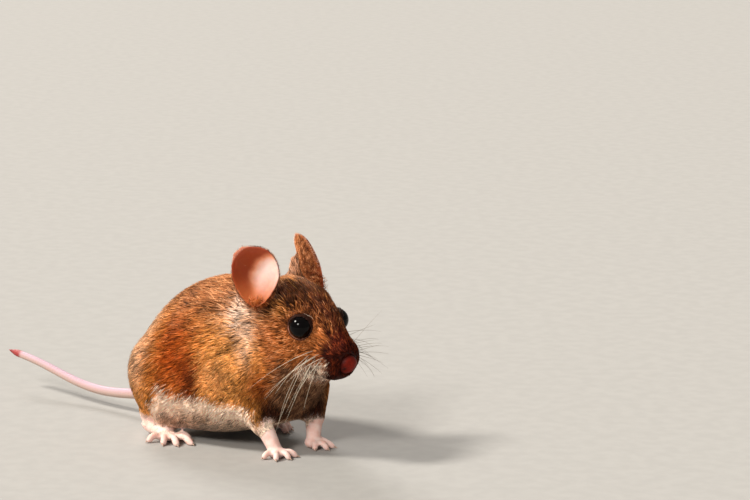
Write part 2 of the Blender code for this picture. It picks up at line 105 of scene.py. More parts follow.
def smooth(values, start, end):
    """0 before start and 1 past end, with a soft S between them."""
    share = np.clip((values - start) / (end - start), 0, 1)
    return share * share * (3 - 2 * share)


def bell(places, centre, radii):
    """1 at the centre, falling off like a bell of those radii."""
    return np.exp(-(((places - np.array(centre)) / np.array(radii)) ** 2).sum(1))


def mixed(first, second, share):
    """The first turned into the second by that share, along a straight line."""
    return first + (second - first) * share


def flattened(ways, normals):
    """Each way without the part of it that runs along the normal."""
    return ways - (ways * normals).sum(1, keepdims=True) * normals


def box(node):
    """The lowest and the highest corner of a node."""
    low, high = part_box(node)
    return np.array(low) / MM, np.array(high) / MM


def middle(node):
    """The middle of a node's box."""
    return sum(box(node)) / 2


EYES = {side: middle("eye_" + side) for side in SIDES}
LID_OPENING = 2.5  # radius of the part of the eyeball that shows
LID_THICKNESS = 0.2
EYE_UNDER = 0.2  # how far under the eyeball's surface the skin fills its socket
EYE_LOOKS = np.array([0.45, 0.85, 0.22])  # forward, outward and up
EYE_RADIUS = float(np.ptp(box("eye_right"), axis=0).mean() / 2)
BROW = (EYES["right"] + EYES["left"]) / 2
NOSE = middle("nose")
NOSE_RADII = np.array([1.8, float(np.ptp(box("nose"), axis=0)[1]) / 2, 2.2])  # forward, aside and up
BRIDGE_END = NOSE + np.array([0.6, 0.0, 1.4])  # just over the nose
FACE_FORWARD = unit(BRIDGE_END - BROW)
FACE_UP = unit(np.cross(FACE_FORWARD, EYES["left"] - EYES["right"]))
FACE_LEFT = np.cross(FACE_UP, FACE_FORWARD)


def face_axes(sign):
    """Forward, out to the side of that sign, and up."""
    return np.array([FACE_FORWARD, sign * FACE_LEFT, FACE_UP])


def face_places(points):
    """Forward, sideways and up from between the eyes, forward being toward the nose."""
    away = points - BROW
    return np.stack([away @ FACE_FORWARD, np.abs(away @ FACE_LEFT), away @ FACE_UP], 1)


def body_places(points):
    """Forward of the eyes, out from the midline, and up from the floor."""
    return np.stack([points[:, 0] - BROW[0], np.abs(points[:, 1] - BROW[1]), points[:, 2]], 1)


def past_neck(body):
    """How far forward each of the body's places lies of the line behind the ears, which leans back."""
    return body[:, 0] + 0.35 * (body[:, 2] - 25)


def ripple(points, size, seed):
    """A soft random field of about -1 to 1 whose waves are size long: a sum of slanting sine waves."""
    draw = np.random.default_rng(seed)
    waves = unit(draw.normal(size=(9, 3))) * (2 * math.pi / size) * draw.uniform(0.6, 1.5, (9, 1))
    return np.sin(points @ waves.T + draw.uniform(0, 2 * math.pi, 9)).sum(1) / 3


class Form:
    """A closed form, kept as its distance at each corner of a grid of cubes: negative inside."""

    def __init__(self, low, step, values):
        self.low = np.asarray(low, float)
        self.step = step
        self.values = values

    def at(self, points):
        """The distance at each point: the eight grid corners round it, weighted by nearness."""
        place = (points - self.low) / self.step
        place = np.clip(place, 0, np.array(self.values.shape) - 1.001)
        cell = place.astype(int)
        part = place - cell
        total = np.zeros(len(points))
        for corner in itertools.product((0, 1), repeat=3):
            weight = np.prod(np.where(corner, part, 1 - part), axis=1)
            i, j, k = (cell + corner).T
            total += weight * self.values[i, j, k]
        return total

    def outward(self, points):
        """The way in which the distance grows fastest, from its change over a cube each way, with a trace
        added so that no way is nothing."""
        steps = np.eye(3) * self.step
        slope = np.stack([self.at(points + s) - self.at(points - s) for s in steps], 1)
        return unit(slope + 1e-9)

    def near(self, within):
        """Which grid corners lie that near the surface, and where they are."""
        index = np.argwhere(np.abs(self.values) < within)
        return tuple(index.T), index * self.step + self.low

    def surface(self, level=0.0, flatness=0.0):
        """Points and triangles of the surface at that distance, with fewer where it is flat."""
        grid = openvdb.FloatGrid(float(self.values.max()))
        grid.copyFromArray(np.ascontiguousarray(self.values, np.float32), ijk=(0, 0, 0))
        points, triangles, quads = grid.convertToPolygons(isovalue=level, adaptivity=flatness)
        halves = (quads[:, [0, 1, 2]], quads[:, [0, 2, 3]], triangles)
        return points * self.step + self.low, np.concatenate(halves).astype(np.int32)


def form_of(points, triangles, step, reach):
    """The distances round closed meshes."""
    scale = openvdb.createLinearTransform(voxelSize=step)
    grid = openvdb.FloatGrid.createLevelSetFromPolygons(
        points.astype(np.float32),
        triangles=triangles.astype(np.uint32),
        transform=scale,
        halfWidth=reach / step,
    )
    low, high = grid.evalActiveVoxelBoundingBox()
    values = np.full(np.subtract(high, low) + 1, reach, np.float32)
    grid.copyToArray(values, ijk=low)
    return Form(np.array(low) * step, step, values)


def node_mesh(names):
    """All the corner points and triangles of some CAD nodes."""
    points, triangles, count = [], [], 0
    for name in names:
        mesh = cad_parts[name].data
        mesh.calc_loop_triangles()
        places = np.empty(len(mesh.vertices) * 3, np.float32)
        mesh.vertices.foreach_get("co", places)
        corners = np.empty(len(mesh.loop_triangles) * 3, np.int32)
        mesh.loop_triangles.foreach_get("vertices", corners)
        points.append(places.reshape(-1, 3) / MM)
        triangles.append(corners.reshape(-1, 3) + count)
        count += len(mesh.vertices)
    return np.concatenate(points), np.concatenate(triangles)


def blurred(values, width):
    """Each value as the mean of its neighbours along each axis, weighted by a bell that many cells wide."""
    reach = max(1, math.ceil(2.5 * width))
    weights = np.exp(-0.5 * (np.arange(-reach, reach + 1) / width) ** 2)
    weights = (weights / weights.sum()).astype(np.float32)
    for axis in range(3):
        spare = [(reach, reach) if axis == other else (0, 0) for other in range(3)]
        padded = np.moveaxis(np.pad(values, spare, mode="edge"), axis, 0)
        count = values.shape[axis]
        mean = sum(weight * padded[i : i + count] for i, weight in enumerate(weights))
        values = np.moveaxis(mean, 0, axis)
    return values


@functools.lru_cache(None)
def feet_form():
    """The distance from the nearest foot."""
    return form_of(*node_mesh(FEET), step=0.5, reach=12.0)


def nose_gap(points):
    """How far each place is from the nose, about."""
    local = (points - NOSE) @ face_axes(1).T / NOSE_RADII
    return (np.linalg.norm(local, axis=1) - 1) * float(NOSE_RADII.mean())


HUMP_FROM_EAR = np.array([-2.35, 1.9, -2.2])  # from the ear's middle: forward, inward and up
HUMP_RADII = np.array([1.9, 1.6, 4.4])


def hump_gap(points):
    """How far each place is from the nearer of the two humps of fur behind the ears, about."""
    gaps = []
    for side, sign in SIDES.items():
        centre = middle("ear_" + side) + HUMP_FROM_EAR * np.array([1, -sign, 1])
        gaps.append(np.linalg.norm((points - centre) / HUMP_RADII, axis=1) - 1)
    return 2.0 * np.min(gaps, 0)


def melted(first, second, width):
    """The nearer of two distances, the crease between them filled over that width."""
    share = np.clip(0.5 + 0.5 * (second - first) / width, 0, 1)
    return mixed(second, first, share) - width * share * (1 - share)


@functools.lru_cache(None)
def ears_form():
    """The distance from the nearer ear."""
    return form_of(*node_mesh(EARS), STEP, REACH)


@functools.lru_cache(None)
def bridged_form(names, bridge):
    """The distance round some nodes once their gaps and creases up to twice the bridge wide are filled:
    the surface that lies a bridge outside them, measured again from there."""
    swollen = form_of(*node_mesh(names), STEP, REACH).surface(bridge)
    form = form_of(*swollen, STEP, REACH)
    return Form(form.low, STEP, form.values + bridge)


HOCK_REACH = 10.5  # how far forward of the heel the loose skin at the hock ends


def hock_share(points):
    """1 between each hind foot and the leg over it, behind the toes, where loose skin joins them."""
    along, aside, height = points.T
    shares = []
    for foot in FEET[2:]:
        low, high = box(foot)
        shares.append(
            smooth(low[0] + HOCK_REACH - along, 0.0, 1.5)
            * smooth(aside - low[1], 0.0, 0.8)
            * smooth(high[1] - aside, 0.0, 0.8)
            * smooth(height, 1.3, 2.2)
            * smooth(6.5 - height, 0.0, 1.0)
        )
    return np.max(shares, 0)


CUT_BRIDGE = 0.2  # half the width of the gaps that the coat closes all over,
HOCK_BRIDGE = 0.9  # at the hocks,
EAR_BRIDGE = 2.5  # and between the head and the ears' roots
CRISP, SOFT = 0.2, 0.55  # how wide the outline is smoothed on the feet and on the body
NOSE_UNDER = 0.32  # how far under the bare nose the flesh fills it


@functools.lru_cache(None)
def coat_form():
    """The outline that the tips of the coat reach: the flesh nodes with the gaps between them closed and
    their facets rounded, the feet left crisp, a collar round the nose, loose skin at the hocks, the
    ears' roots filled, and a hump of fur behind each ear."""
    form = bridged_form(FLESH, CUT_BRIDGE)
    crisp = blurred(form.values, CRISP / STEP)
    soft = blurred(form.values, SOFT / STEP)
    index, points = form.near(REACH - 0.1)
    furred = np.ones(form.values.shape, np.float32)
    furred[index] = smooth(feet_form().at(points), 0.2, 2.5)
    values = mixed(crisp, soft, furred)
    values[index] = melted(values[index], nose_gap(points) + NOSE_UNDER, 1.5)
    loose = np.minimum(values[index], bridged_form(FLESH, HOCK_BRIDGE).at(points))
    values[index] = mixed(values[index], loose, hock_share(points))
    ear_roots = bridged_form(("head", "neck", *EARS), EAR_BRIDGE)
    index, points = ear_roots.near(1.5)
    filled = np.maximum(ear_roots.values[index], 0.35 - ears_form().at(points))
    cells = np.rint((points - form.low) / STEP).astype(int)
    inside = ((cells >= 0) & (cells < values.shape)).all(1)
    cells = tuple(cells[inside].T)
    values[cells] = melted(values[cells], filled[inside], 0.3)
    index, points = form.near(REACH - 0.1)
    humps = np.maximum(hump_gap(points), 0.1 - ears_form().at(points))
    values[index] = melted(values[index], humps, 0.8)
    return Form(form.low, STEP, values)


# The coat's depth on the trunk, on the humps behind the ears, on the face and on the muzzle, and the
# share of it that is left beside the eyes.
TRUNK_DEPTH, HUMP_DEPTH, FACE_DEPTH, MUZZLE_DEPTH = 1.3, 0.7, 0.65, 0.26
LEFT_BY_EYES = 0.35


def coat_depth(points):
    """How far the skin lies under the tips of the coat: most on the trunk, little on the face, and
    next to none on the feet."""
    forward, _, up = face_places(points).T
    depth = TRUNK_DEPTH * smooth(feet_form().at(points), 0.3, 8.5)
    for most, where in (
        (FACE_DEPTH, smooth(forward - 0.35 * up, -10.0, 0.0)),
        (MUZZLE_DEPTH, smooth(forward, 3.0, 9.0)),
        (HUMP_DEPTH, 1 - smooth(hump_gap(points), 0.0, 1.5)),
    ):
        depth = mixed(depth, np.minimum(depth, most), where)
    return depth * mixed(LEFT_BY_EYES, 1.0, smooth(eye_gap(points), 0.2, 2.6))


def eye_gap(points):
    """How far each place is from the nearer eyeball."""
    return np.min([np.linalg.norm(points - eye, axis=1) for eye in EYES.values()], 0) - EYE_RADIUS


def lid_gap(points):
    """How far each place is from the nearer eye's lids: a thin shell round the eyeball, open where it
    lies within a circle round the way the eye looks."""
    gaps = []
    for side, eye in EYES.items():
        away = points - eye
        looks = unit(EYE_LOOKS @ face_axes(SIDES[side]))
        toward = away @ looks
        aside = np.linalg.norm(away - toward[:, None] * looks, axis=1)
        opening = np.where(toward > 0, LID_OPENING - aside, -1.0)
        gaps.append(np.maximum(np.linalg.norm(away, axis=1) - EYE_RADIUS - LID_THICKNESS, opening))
    return np.min(gaps, 0)


@functools.lru_cache(None)
def skin_form():
    """The coat's outline sunk by the coat's depth, joined to the lids, with the sockets filled to just
    under the eyes."""
    coat = coat_form()
    index, points = coat.near(REACH - 0.4)
    values = coat.values.copy()
    sunk = melted(values[index] + coat_depth(points), lid_gap(points), 0.4)
    values[index] = np.minimum(sunk, eye_gap(points) + EYE_UNDER)
    return Form(coat.low, STEP, values)


# Where the pale belly ends: forward of the eyes, and up from the floor.
BELLY_EDGE = (
    (-43, 2.5), (-40, 4.6), (-37.5, 7.6), (-34.5, 11.2), (-23, 10.9),
    (-16, 10.1), (-12.5, 9.2), (-10, 7.2), (-8.5, 5.6), (-4, 5.0),
)
# Where the dark front of the muzzle ends: up from between the eyes, and forward.
LIP_FRONT = ((-9.5, 9.4), (-6.5, 10.2), (-3.9, 10.7), (-2.2, 10.3), (-1.2, 9.6), (-0.4, 9.0), (0.6, 9.0))
# Soft patches, each a strength, a centre and radii: on the face forward, sideways and up from between the
# eyes, and on the body forward of the eyes, out from the midline and up from the floor.
FACE_SPOTS = {
    "crown": (3.0, (-8.0, 4.8, 3.2), (3.2, 2.8, 2.8)),
    "temple": (0.7, (-3.5, 7.6, -1.0), (1.9, 3.0, 1.5)),
    "lash": (0.9, (0.6, 6.0, 3.0), (3.2, 2.2, 0.9)),
}
BODY_SPOTS = {
    # fold is painted shade: the crease in front of the haunch, made darker and redder.
    "fold": (0.7, (-26.0, 15.4, 15.6), (1.8, 4.0, 5.0)),
    # armpit and breast are painted shade: behind the forelegs and on the chest between them.
    "armpit": (1.2, (-8.2, 8.4, 9.6), (2.2, 2.8, 3.6)),
    "breast": (1.0, (-5.6, 4.8, 8.0), (3.0, 3.0, 3.2)),
    "arm": (0.28, (-8.5, 9.0, 15.0), (3.0, 4.0, 3.5)),
    "nape": (1.2, (-15.6, 9.5, 31.5), (3.6, 5.0, 4.8)),
    "collar": (0.8, (-12.2, 10.8, 25.2), (2.2, 4.0, 4.2)),
    "haunch": (1.1, (-31.5, 16.0, 20.0), (6.8, 8.0, 11.5)),
    "loin": (0.35, (-28.0, 14.0, 27.0), (6.0, 6.0, 3.5)),
    "flank": (0.1, (-18.5, 14.0, 17.0), (5.0, 5.0, 5.5)),
    "shoulder": (1.0, (-8.5, 9.0, 15.5), (4.0, 4.0, 4.5)),
}
# Patches of the body where the coat's hairs are lighter or darker.
TONE_SPOTS = {
    "flank": (0.26, (-20.0, 14.5, 17.5), (3.5, 5.0, 5.0)),
    "neck": (-0.16, (-13.8, 12.6, 21.5), (2.6, 4.0, 3.5)),
}


def spots(places, patches):
    """How strongly each of those patches shows at each place."""
    return {name: strength * bell(places, *shape) for name, (strength, *shape) in patches.items()}


def markings(points, normals):
    """How strongly each marking shows at each place, 0 to 1. Skin and coat both use it."""
    body, face = body_places(points), face_places(points)
    along, aside, height = body.T
    forward, cheek, up = face.T
    spot = {**spots(face, FACE_SPOTS), **spots(body, BODY_SPOTS)}
    uneven = ripple(points, 5.0, 3)
    streaks = ripple(face * np.array([0.22, 1.0, 0.22]), 0.9, 9)
    parted = smooth(ripple(face * np.array([1.0, 0.3, 0.4]), 0.9, 14), -0.6, 0.2)
    head = smooth(past_neck(body), -11.0, -7.0)
    behind_arms = smooth(-along, 8.0, 11.0)
    edge = np.interp(along, *zip(*BELLY_EDGE))
    under = smooth(edge + 0.5 - height + 0.7 * uneven, -0.9, 0.9) * behind_arms
    # Painted shade: well under the belly's edge its pale gives way to the throat's grey-brown, as the
    # underside lies in shade.
    low = under * smooth(edge - height + uneven, 1.5, 6.5)
    # Under the jaw the coat is dark grey-brown: partly its own colour and partly painted shade.
    throat = smooth(-8.4 - up + 0.5 * uneven, -0.8, 0.8) * smooth(along, -14.0, -9.0)
    throat = throat * smooth(9.0 - aside, 0.0, 2.5)
    front = forward - np.interp(up, *zip(*LIP_FRONT))
    lip_edge = -1.9 - 1.1 * (9.4 - forward)
    lips = smooth(lip_edge - up, -0.5, 0.8) * smooth(forward + 0.5 * uneven, 3.8, 6.6)
    lips = lips * smooth(-front, -0.3, 0.5) * smooth(up, -10.6, -8.6)
    chest = smooth(-normals[:, 2], 0.35, 0.75) * smooth(18.0 - height, 0.0, 5.0) * behind_arms
    stripe = np.exp(-(((cheek + 0.5 * uneven) / 3.3) ** 2)) * smooth(forward, -12.0, -8.0)
    stripe = stripe * smooth(up, 0.5, 2.5) * head * (1.6 + streaks)
    dark = stripe + spot["crown"] * (1 + 0.3 * streaks) + 0.6 * lips * (1 - parted)
    # The fold, armpit and breast patches are painted shade.
    dark = dark + sum(spot[name] for name in ("temple", "lash", "fold", "armpit", "breast", "arm"))
    muzzle = smooth(forward - 0.45 * cheek + 0.5 * uneven + 0.8 * streaks, 2.8, 6.2)
    muzzle = muzzle * smooth(up - lip_edge, -0.5, 1.0)
    # Painted light: the rear of the rump is made paler, as if lit from behind; it goes into the pale nape
    # mark.
    rump = smooth(-along, 37.0, 42.0) * smooth(height, 8.0, 16.0)
    nape = (spot["nape"] + spot["collar"]) * (0.75 + 0.25 * uneven) + 0.45 * rump + spot["flank"]
    pale_lips = lips * (0.1 + 0.9 * parted)
    return {
        "belly": np.maximum.reduce([under * (1 - 0.75 * low), pale_lips, 0.5 * chest * (1 - throat)]),
        "dark": np.clip(dark, 0, 1),
        "muzzle": np.maximum(muzzle, smooth(front + 0.2 * uneven, -0.6, 0.4) * smooth(forward, 7.0, 8.6)),
        "back": smooth(height + 1.2 * uneven, 23.0, 33.0) * smooth(-along, 4.0, 10.0),
        "nape": np.clip(nape + 0.25 * (1 - smooth(hump_gap(points), -0.6, 1.0)), 0, 1),
        # Twice the fold: painted shade, redder in the crease in front of the haunch.
        "warm": np.clip(spot["haunch"] + 2 * spot["fold"] + 0.9 * spot["shoulder"] + spot["loin"], 0, 1),
        "throat": np.maximum(throat * (1 - lips), low),
        "face": head * smooth(forward - 0.4 * up, -9.0, -3.0),
        "bare": 1 - smooth(feet_form().at(points), 0.3, 2.4),
    }


def lie_of_coat(points, normals):
    """The way the hair points: back from the nose, down the flanks and legs, away from the eyes, and up
    the humps behind the ears, with a little swirl. It keeps to the surface."""
    body = body_places(points)
    forward, _, up = face_places(points).T
    flank = np.abs(normals[:, 1]) * (1 - smooth(body[:, 2], 20.0, 34.0))
    rear = smooth(-normals[:, 0], 0.15, 0.8)
    ones = np.ones(len(points))
    trunk = np.stack([-ones, 0 * ones, -0.12 - 0.75 * flank - 1.3 * rear], 1)
    crown = smooth(up, -5.0, 2.0)[:, None]
    whiskered = smooth(-up - 0.6 * (10 - forward), -2.0, 3.0) * smooth(forward, 2.0, 6.0)
    face = mixed(np.array([-1.0, 0, -0.25]), -FACE_FORWARD, crown)
    face = face + whiskered[:, None] * np.array([0.35, 0, -1.1])
    way = mixed(trunk, face, smooth(past_neck(body), -14.0, -8.0)[:, None])
    hump = 1 - smooth(hump_gap(points), 0.0, 1.6)
    way = way + 1.6 * hump[:, None] * np.array([0.1, 0.0, 1.0])
    feet = feet_form()
    leg = 0.85 * (1 - smooth(feet.at(points), 1.5, 8.0))[:, None]
    way = mixed(way, -feet.outward(points) + 0.3 * way, leg)
    for eye in EYES.values():
        away = points - eye
        gap = np.linalg.norm(away, axis=1, keepdims=True)
        way = way + 1.3 * away / gap * np.exp(-(((gap - EYE_RADIUS) / 1.1) ** 2))
    swirl = np.stack([ripple(points, 7.0, seed) for seed in (11, 12, 13)], 1)
    return unit(flattened(unit(way) + 0.16 * swirl, normals))


class Value:
    """A socket of a shader that can be reckoned with like a number."""

    def __init__(self, shader, socket):
        self.shader = shader
        self.socket = socket

    def __add__(self, other):
        return self.shader.maths("ADD", self, other)

    def __radd__(self, other):
        return self.shader.maths("ADD", other, self)

    def __sub__(self, other):
        return self.shader.maths("SUBTRACT", self, other)

    def __rsub__(self, other):
        return self.shader.maths("SUBTRACT", other, self)

    def __mul__(self, other):
        return self.shader.maths("MULTIPLY", self, other)

    def __rmul__(self, other):
        return self.shader.maths("MULTIPLY", other, self)

    def __truediv__(self, other):
        return self.shader.maths("DIVIDE", self, other)

    def __rtruediv__(self, other):
        return self.shader.maths("DIVIDE", other, self)

    def between(self, start, end):
        """0 below start and 1 above end, with a soft S between them."""
        sockets = {"Value": self, "From Min": start, "From Max": end}
        return self.shader.node("ShaderNodeMapRange", {"interpolation_type": "SMOOTHSTEP"}, sockets)


class Shader:
    """A material made of nodes, one Principled surface at its end."""

    def __init__(self, name):
        self.material = bpy.data.materials.new(name)
        self.material.use_nodes = True
        self.tree = self.material.node_tree
        self.tree.nodes.clear()

    def node(self, kind, settings=None, sockets=None, output=0):
        """A node of that kind, its settings set first, then its sockets filled or linked."""
        node = self.tree.nodes.new(kind)
        for name, value in (settings or {}).items():
            setattr(node, name, value)
        for name, value in (sockets or {}).items():
            if isinstance(value, Value):
                self.tree.links.new(value.socket, node.inputs[name])
            else:
                node.inputs[name].default_value = value
        return Value(self, node.outputs[output]) if node.outputs else None

    def maths(self, operation, *values):
        return self.node("ShaderNodeMath", {"operation": operation}, dict(enumerate(values)))

    def mark(self, name):
        """A number stored on the mesh."""
        return self.node("ShaderNodeAttribute", {"attribute_name": name}, output="Fac")

    def mix(self, share, first, second, blend="MIX"):
        """One colour turned into another by a share."""
        colours = [c if isinstance(c, Value) else (*c[:3], 1.0) for c in (first, second)]
        settings = {"data_type": "RGBA", "blend_type": blend}
        return self.node("ShaderNodeMix", settings, {0: share, 6: colours[0], 7: colours[1]}, 2)

    def grey(self, value):
        """A colour with all its parts the same number."""
        parts = {"Red": value, "Green": value, "Blue": value}
        return self.node("ShaderNodeCombineColor", {}, parts)

    def noise(self, size, detail=2.0, stretch=(1, 1, 1)):
        """Soft noise on the object's own coordinates, its lumps about that many millimetres across."""
        where = self.node("ShaderNodeTexCoord", output="Object")
        scaled = self.node("ShaderNodeMapping", {}, {"Vector": where, "Scale": stretch})
        sockets = {"Vector": scaled, "Scale": 1 / (size * MM), "Detail": detail}
        return self.node("ShaderNodeTexNoise", {}, sockets)

    def bump(self, height, depth, strength=1.0):
        """A Bump node whose full height is that many millimetres."""
        sockets = {"Height": height, "Distance": depth * MM, "Strength": strength}
        return self.node("ShaderNodeBump", {}, sockets)

    def finish(self, sockets):
        surface = self.node("ShaderNodeBsdfPrincipled", {}, sockets)
        self.node("ShaderNodeOutputMaterial", {}, {"Surface": surface})
        return self.material


def add_piece(name, points, faces, material, slot, marks=None, replaced=(), uv=None):
    """A smooth-shaded mesh of points in millimetres, with its stored numbers, on the mouse's one body."""
    mesh = bpy.data.meshes.new(name)
    count, corners = faces.shape
    mesh.vertices.add(len(points))
    mesh.vertices.foreach_set("co", (points * MM).astype(np.float32).ravel())
    mesh.loops.add(count * corners)
    mesh.loops.foreach_set("vertex_index", faces.astype(np.int32).ravel())
    mesh.polygons.add(count)
    mesh.polygons.foreach_set("loop_start", np.arange(0, count * corners, corners, dtype=np.int32))
    mesh.polygons.foreach_set("use_smooth", np.ones(count, bool))
    mesh.update(calc_edges=True)
    for mark, values in (marks or {}).items():
        stored = mesh.attributes.new(mark, "FLOAT", "POINT")
        stored.data.foreach_set("value", np.asarray(values, np.float32))
    if uv is not None:
        layer = mesh.uv_layers.new(name="OFBake")
        layer.data.foreach_set("uv", uv[faces.ravel()].astype(np.float32).ravel())
    mesh.materials.append(material)
    piece = bpy.data.objects.new(name, mesh)
    bpy.context.scene.collection.objects.link(piece)
    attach(piece, "root")
    if replaced:
        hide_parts(*replaced)


def ring_faces(rows, columns, first, last=None):
    """Triangles between rows of closed rings, laid out row after row, and from the end rings to the
    points of those numbers."""
    turn = np.arange(columns)
    beside = (turn + 1) % columns
    start = (np.arange(rows - 1) * columns)[:, None]
    corners = (start + turn, start + beside, start + columns + beside, start + columns + turn)
    quads = np.stack([corner.ravel() for corner in corners], 1)
    parts = [quads[:, [0, 1, 2]], quads[:, [0, 2, 3]], np.stack([beside, turn, np.full(columns, first)], 1)]
    if last is not None:
        end = (rows - 1) * columns
        parts.append(np.stack([turn + end, beside + end, np.full(columns, last)], 1))
    return np.concatenate(parts)


def tube(path, radii, sides, squash=1.0):
    """A profile carried along a path: at each of its points a ring of that radius, square to the way
    the path goes there and squashed upward, closed to a point at both ends."""
    ways = unit(np.gradient(path, axis=0))
    level = unit(np.cross(ways, np.array([0.0, 0.0, 1.0]) + 1e-6))
    lift = np.cross(level, ways)
    turn = np.linspace(0, 2 * math.pi, sides, endpoint=False)[None, :, None]
    ring = np.cos(turn) * level[:, None] + squash * np.sin(turn) * lift[:, None]
    points = (path[:, None] + ring * radii[:, None, None]).reshape(-1, 3)
    faces = ring_faces(len(path), sides, len(points), len(points) + 1)
    return np.concatenate([points, path[:1], path[-1:]]), faces


def joined(parts):
    """Several point and face pairs as one."""
    counts = np.cumsum([0] + [len(points) for points, _ in parts[:-1]])
    faces = [faces + count for (_, faces), count in zip(parts, counts)]
    return np.concatenate([points for points, _ in parts]), np.concatenate(faces)


def box_unwrap(points, normals):
    """A place on a flat map for each point: the six sides of a box unfolded, three by two, each point on
    the side that its normal faces."""
    axis = np.abs(normals).argmax(1)
    rows = np.arange(len(points))
    side = axis * 2 + (normals[rows, axis] > 0)
    low, high = points.min(0), points.max(0)
    share = (points - low) / (high - low).max()
    flat = np.stack([share[rows, (axis + 1) % 3], share[rows, (axis + 2) % 3]], 1)
    cell = np.stack([side % 3 / 3, side // 3 / 2], 1)
    return cell + 0.008 + flat * np.array([1 / 3 - 0.02, 1 / 2 - 0.02])


def tuft_mesh(roots, normals, ways, lengths, widths, depths, tips_on, draw):
    """One closed blade for each root: three corners under the skin, three at the bend and one tip. The
    bend and the tip are moved along the outline's normal to stand a share of the coat's depth high, so
    that the blade follows the body and its tip ends in the coat's outline."""
    count = len(roots)
    beside = np.cross(normals, ways)
    height = draw.uniform(0.62, 1.04, count)
    bend = roots + ways * (BEND * lengths)[:, None]
    tip = roots + ways * lengths[:, None]
    for place, share in ((bend, BEND_HEIGHT * height), (tip, height)):
        target = depths * (share - 1)
        place += (target - tips_on.at(place))[:, None] * tips_on.outward(place)
    points = np.empty((count, TUFT_POINTS, 3))
    for i, (side, lift) in enumerate(((-0.5, 0.0), (0.0, CREST), (0.5, 0.0))):
        across = beside * (side * widths)[:, None]
        crest = normals * (lift * widths)[:, None]
        points[:, i] = roots - normals * ROOT_UNDER + ROOT_WIDTH * across + crest
        points[:, 3 + i] = bend + across + crest
    points[:, 6] = tip
    faces = np.arange(count)[:, None, None] * TUFT_POINTS + TUFT_FACES
    return points.reshape(-1, 3), faces.reshape(-1, 3)


def add_tufts(name, tufts, marks, along, tips_on, draw, material):
    """A piece of coat: a blade for each tuft, the tuft's marks at all its points, how far along the hair
    each point lies, and a small patch of the map at the root's place."""
    points, faces = tuft_mesh(**tufts, tips_on=tips_on, draw=draw)
    stored = {mark: np.repeat(values, TUFT_POINTS) for mark, values in marks.items()}
    stored["along"] = np.tile(along, len(tufts["roots"]))
    uv = box_unwrap(tufts["roots"], tufts["normals"])[:, None] + PATCH * (TUFT_MAP - 0.5)
    add_piece(name, points, faces, material, "fur", stored, uv=uv.reshape(-1, 2))


def spread_roots(points, triangles, density, draw):
    """Random places on a mesh, as many to a square millimetre as density says at each triangle: one even
    walk over the summed areas picks the triangles, and each place lies anywhere in its own."""
    corners = points[triangles]
    areas = np.linalg.norm(np.cross(corners[:, 1] - corners[:, 0], corners[:, 2] - corners[:, 0]), axis=1) / 2
    total = np.cumsum(areas * density(corners.mean(1)))
    count = int(total[-1])
    picked = np.searchsorted(total, np.arange(count) + draw.random(count))
    picked = np.minimum(picked, len(triangles) - 1)
    share = draw.random((count, 2))
    share = np.where(share.sum(1, keepdims=True) > 1, 1 - share, share)
    first, second, third = corners[picked].swapaxes(0, 1)
    return first + (second - first) * share[:, :1] + (third - first) * share[:, 1:]


def paint(name, description, default):
    """A colour that a user can change."""
    return FloatVectorProperty(name=name, description=description, default=default, subtype="COLOR")


class MouseCoat(bpy.types.PropertyGroup):
    """Sizes and colours of the coat."""

    hair_length: FloatProperty(
        name="Hair length", description="Length of a tuft on the trunk", default=4.0 * MM, unit="LENGTH"
    )
    cover: FloatProperty(name="Cover", description="How many tufts deep the coat lies", default=5.4, min=0.5)
    tawny: paint("Tawny", "Flanks", (0.84, 0.35, 0.075))
    cheek: paint("Cheek", "Sides and top of the face", (0.49, 0.15, 0.038))
    saddle: paint("Back", "Top of the back", (0.35, 0.125, 0.058))
    # Also painted shade, deeper red in the crease before the haunch.
    russet: paint("Russet", "Haunches, loins and shoulders", (0.45, 0.055, 0.001))
    # Also painted shade: in the crease before the haunch, behind the forelegs and on the chest between them.
    dark: paint("Dark", "Stripes of the head and the guard hairs", (0.024, 0.004, 0.003))
    muzzle: paint("Muzzle", "Round the nose", (0.052, 0.005, 0.003))
    glints: paint("Glints", "Brighter hairs of the muzzle and the dark stripes", (0.34, 0.065, 0.018))
    belly: paint("Belly", "Belly and lips", (0.92, 0.74, 0.60))
    # Under the jaw partly the coat's own colour and partly painted shade; low on the belly, painted shade.
    throat: paint("Throat", "Under the jaw and low on the belly", (0.24, 0.125, 0.07))
    # Also painted light, where it pales the rear of the rump.
    nape: paint("Nape", "Pale patch behind the ear", (0.95, 0.74, 0.60))
    tips: paint("Tips", "Pale ends of some hairs", (0.88, 0.56, 0.30))


class MouseBare(bpy.types.PropertyGroup):
    """Colours of the bare parts."""

    pink: paint("Skin", "Feet and forearms", (0.87, 0.64, 0.59))
    # The ear's two colours are partly its own and partly painted light and shade: shell on the lit front of
    # the hollow, flush on its shaded back.
    shell: paint("Ear", "Bright front of the ear's hollow", (0.82, 0.55, 0.49))
    flush: paint("Ear shade", "Dark back of the ear's hollow", (0.20, 0.024, 0.001))
    nose: paint("Nose", "Bare nose", (0.14, 0.009, 0.004))
    eye: paint("Eye", "Eyeball", (0.0012, 0.0008, 0.0009))
    tail: paint("Tail", "Tail skin", (0.48, 0.31, 0.33))
    raw: paint("Raw tip", "End of the tail", (0.32, 0.035, 0.033))
    whisker: paint("Whiskers", "Whisker hair", (0.88, 0.78, 0.62))
    claw: paint("Claws", "Horn", (0.42, 0.25, 0.19))


class MouseStage(bpy.types.PropertyGroup):
    """The studio."""

    floor: paint("Floor", "Floor paper", (0.36, 0.35, 0.335))
    key: FloatProperty(name="Key light", description="Strength of the main light", default=3.6)
    rim: FloatProperty(name="Rim light", description="Strength of the light behind", default=1.8)
    sky: FloatProperty(name="Sky", description="Strength of the light from all round", default=0.32)
    lens: FloatProperty(name="Lens", description="Focal length", default=150.0, unit="CAMERA")


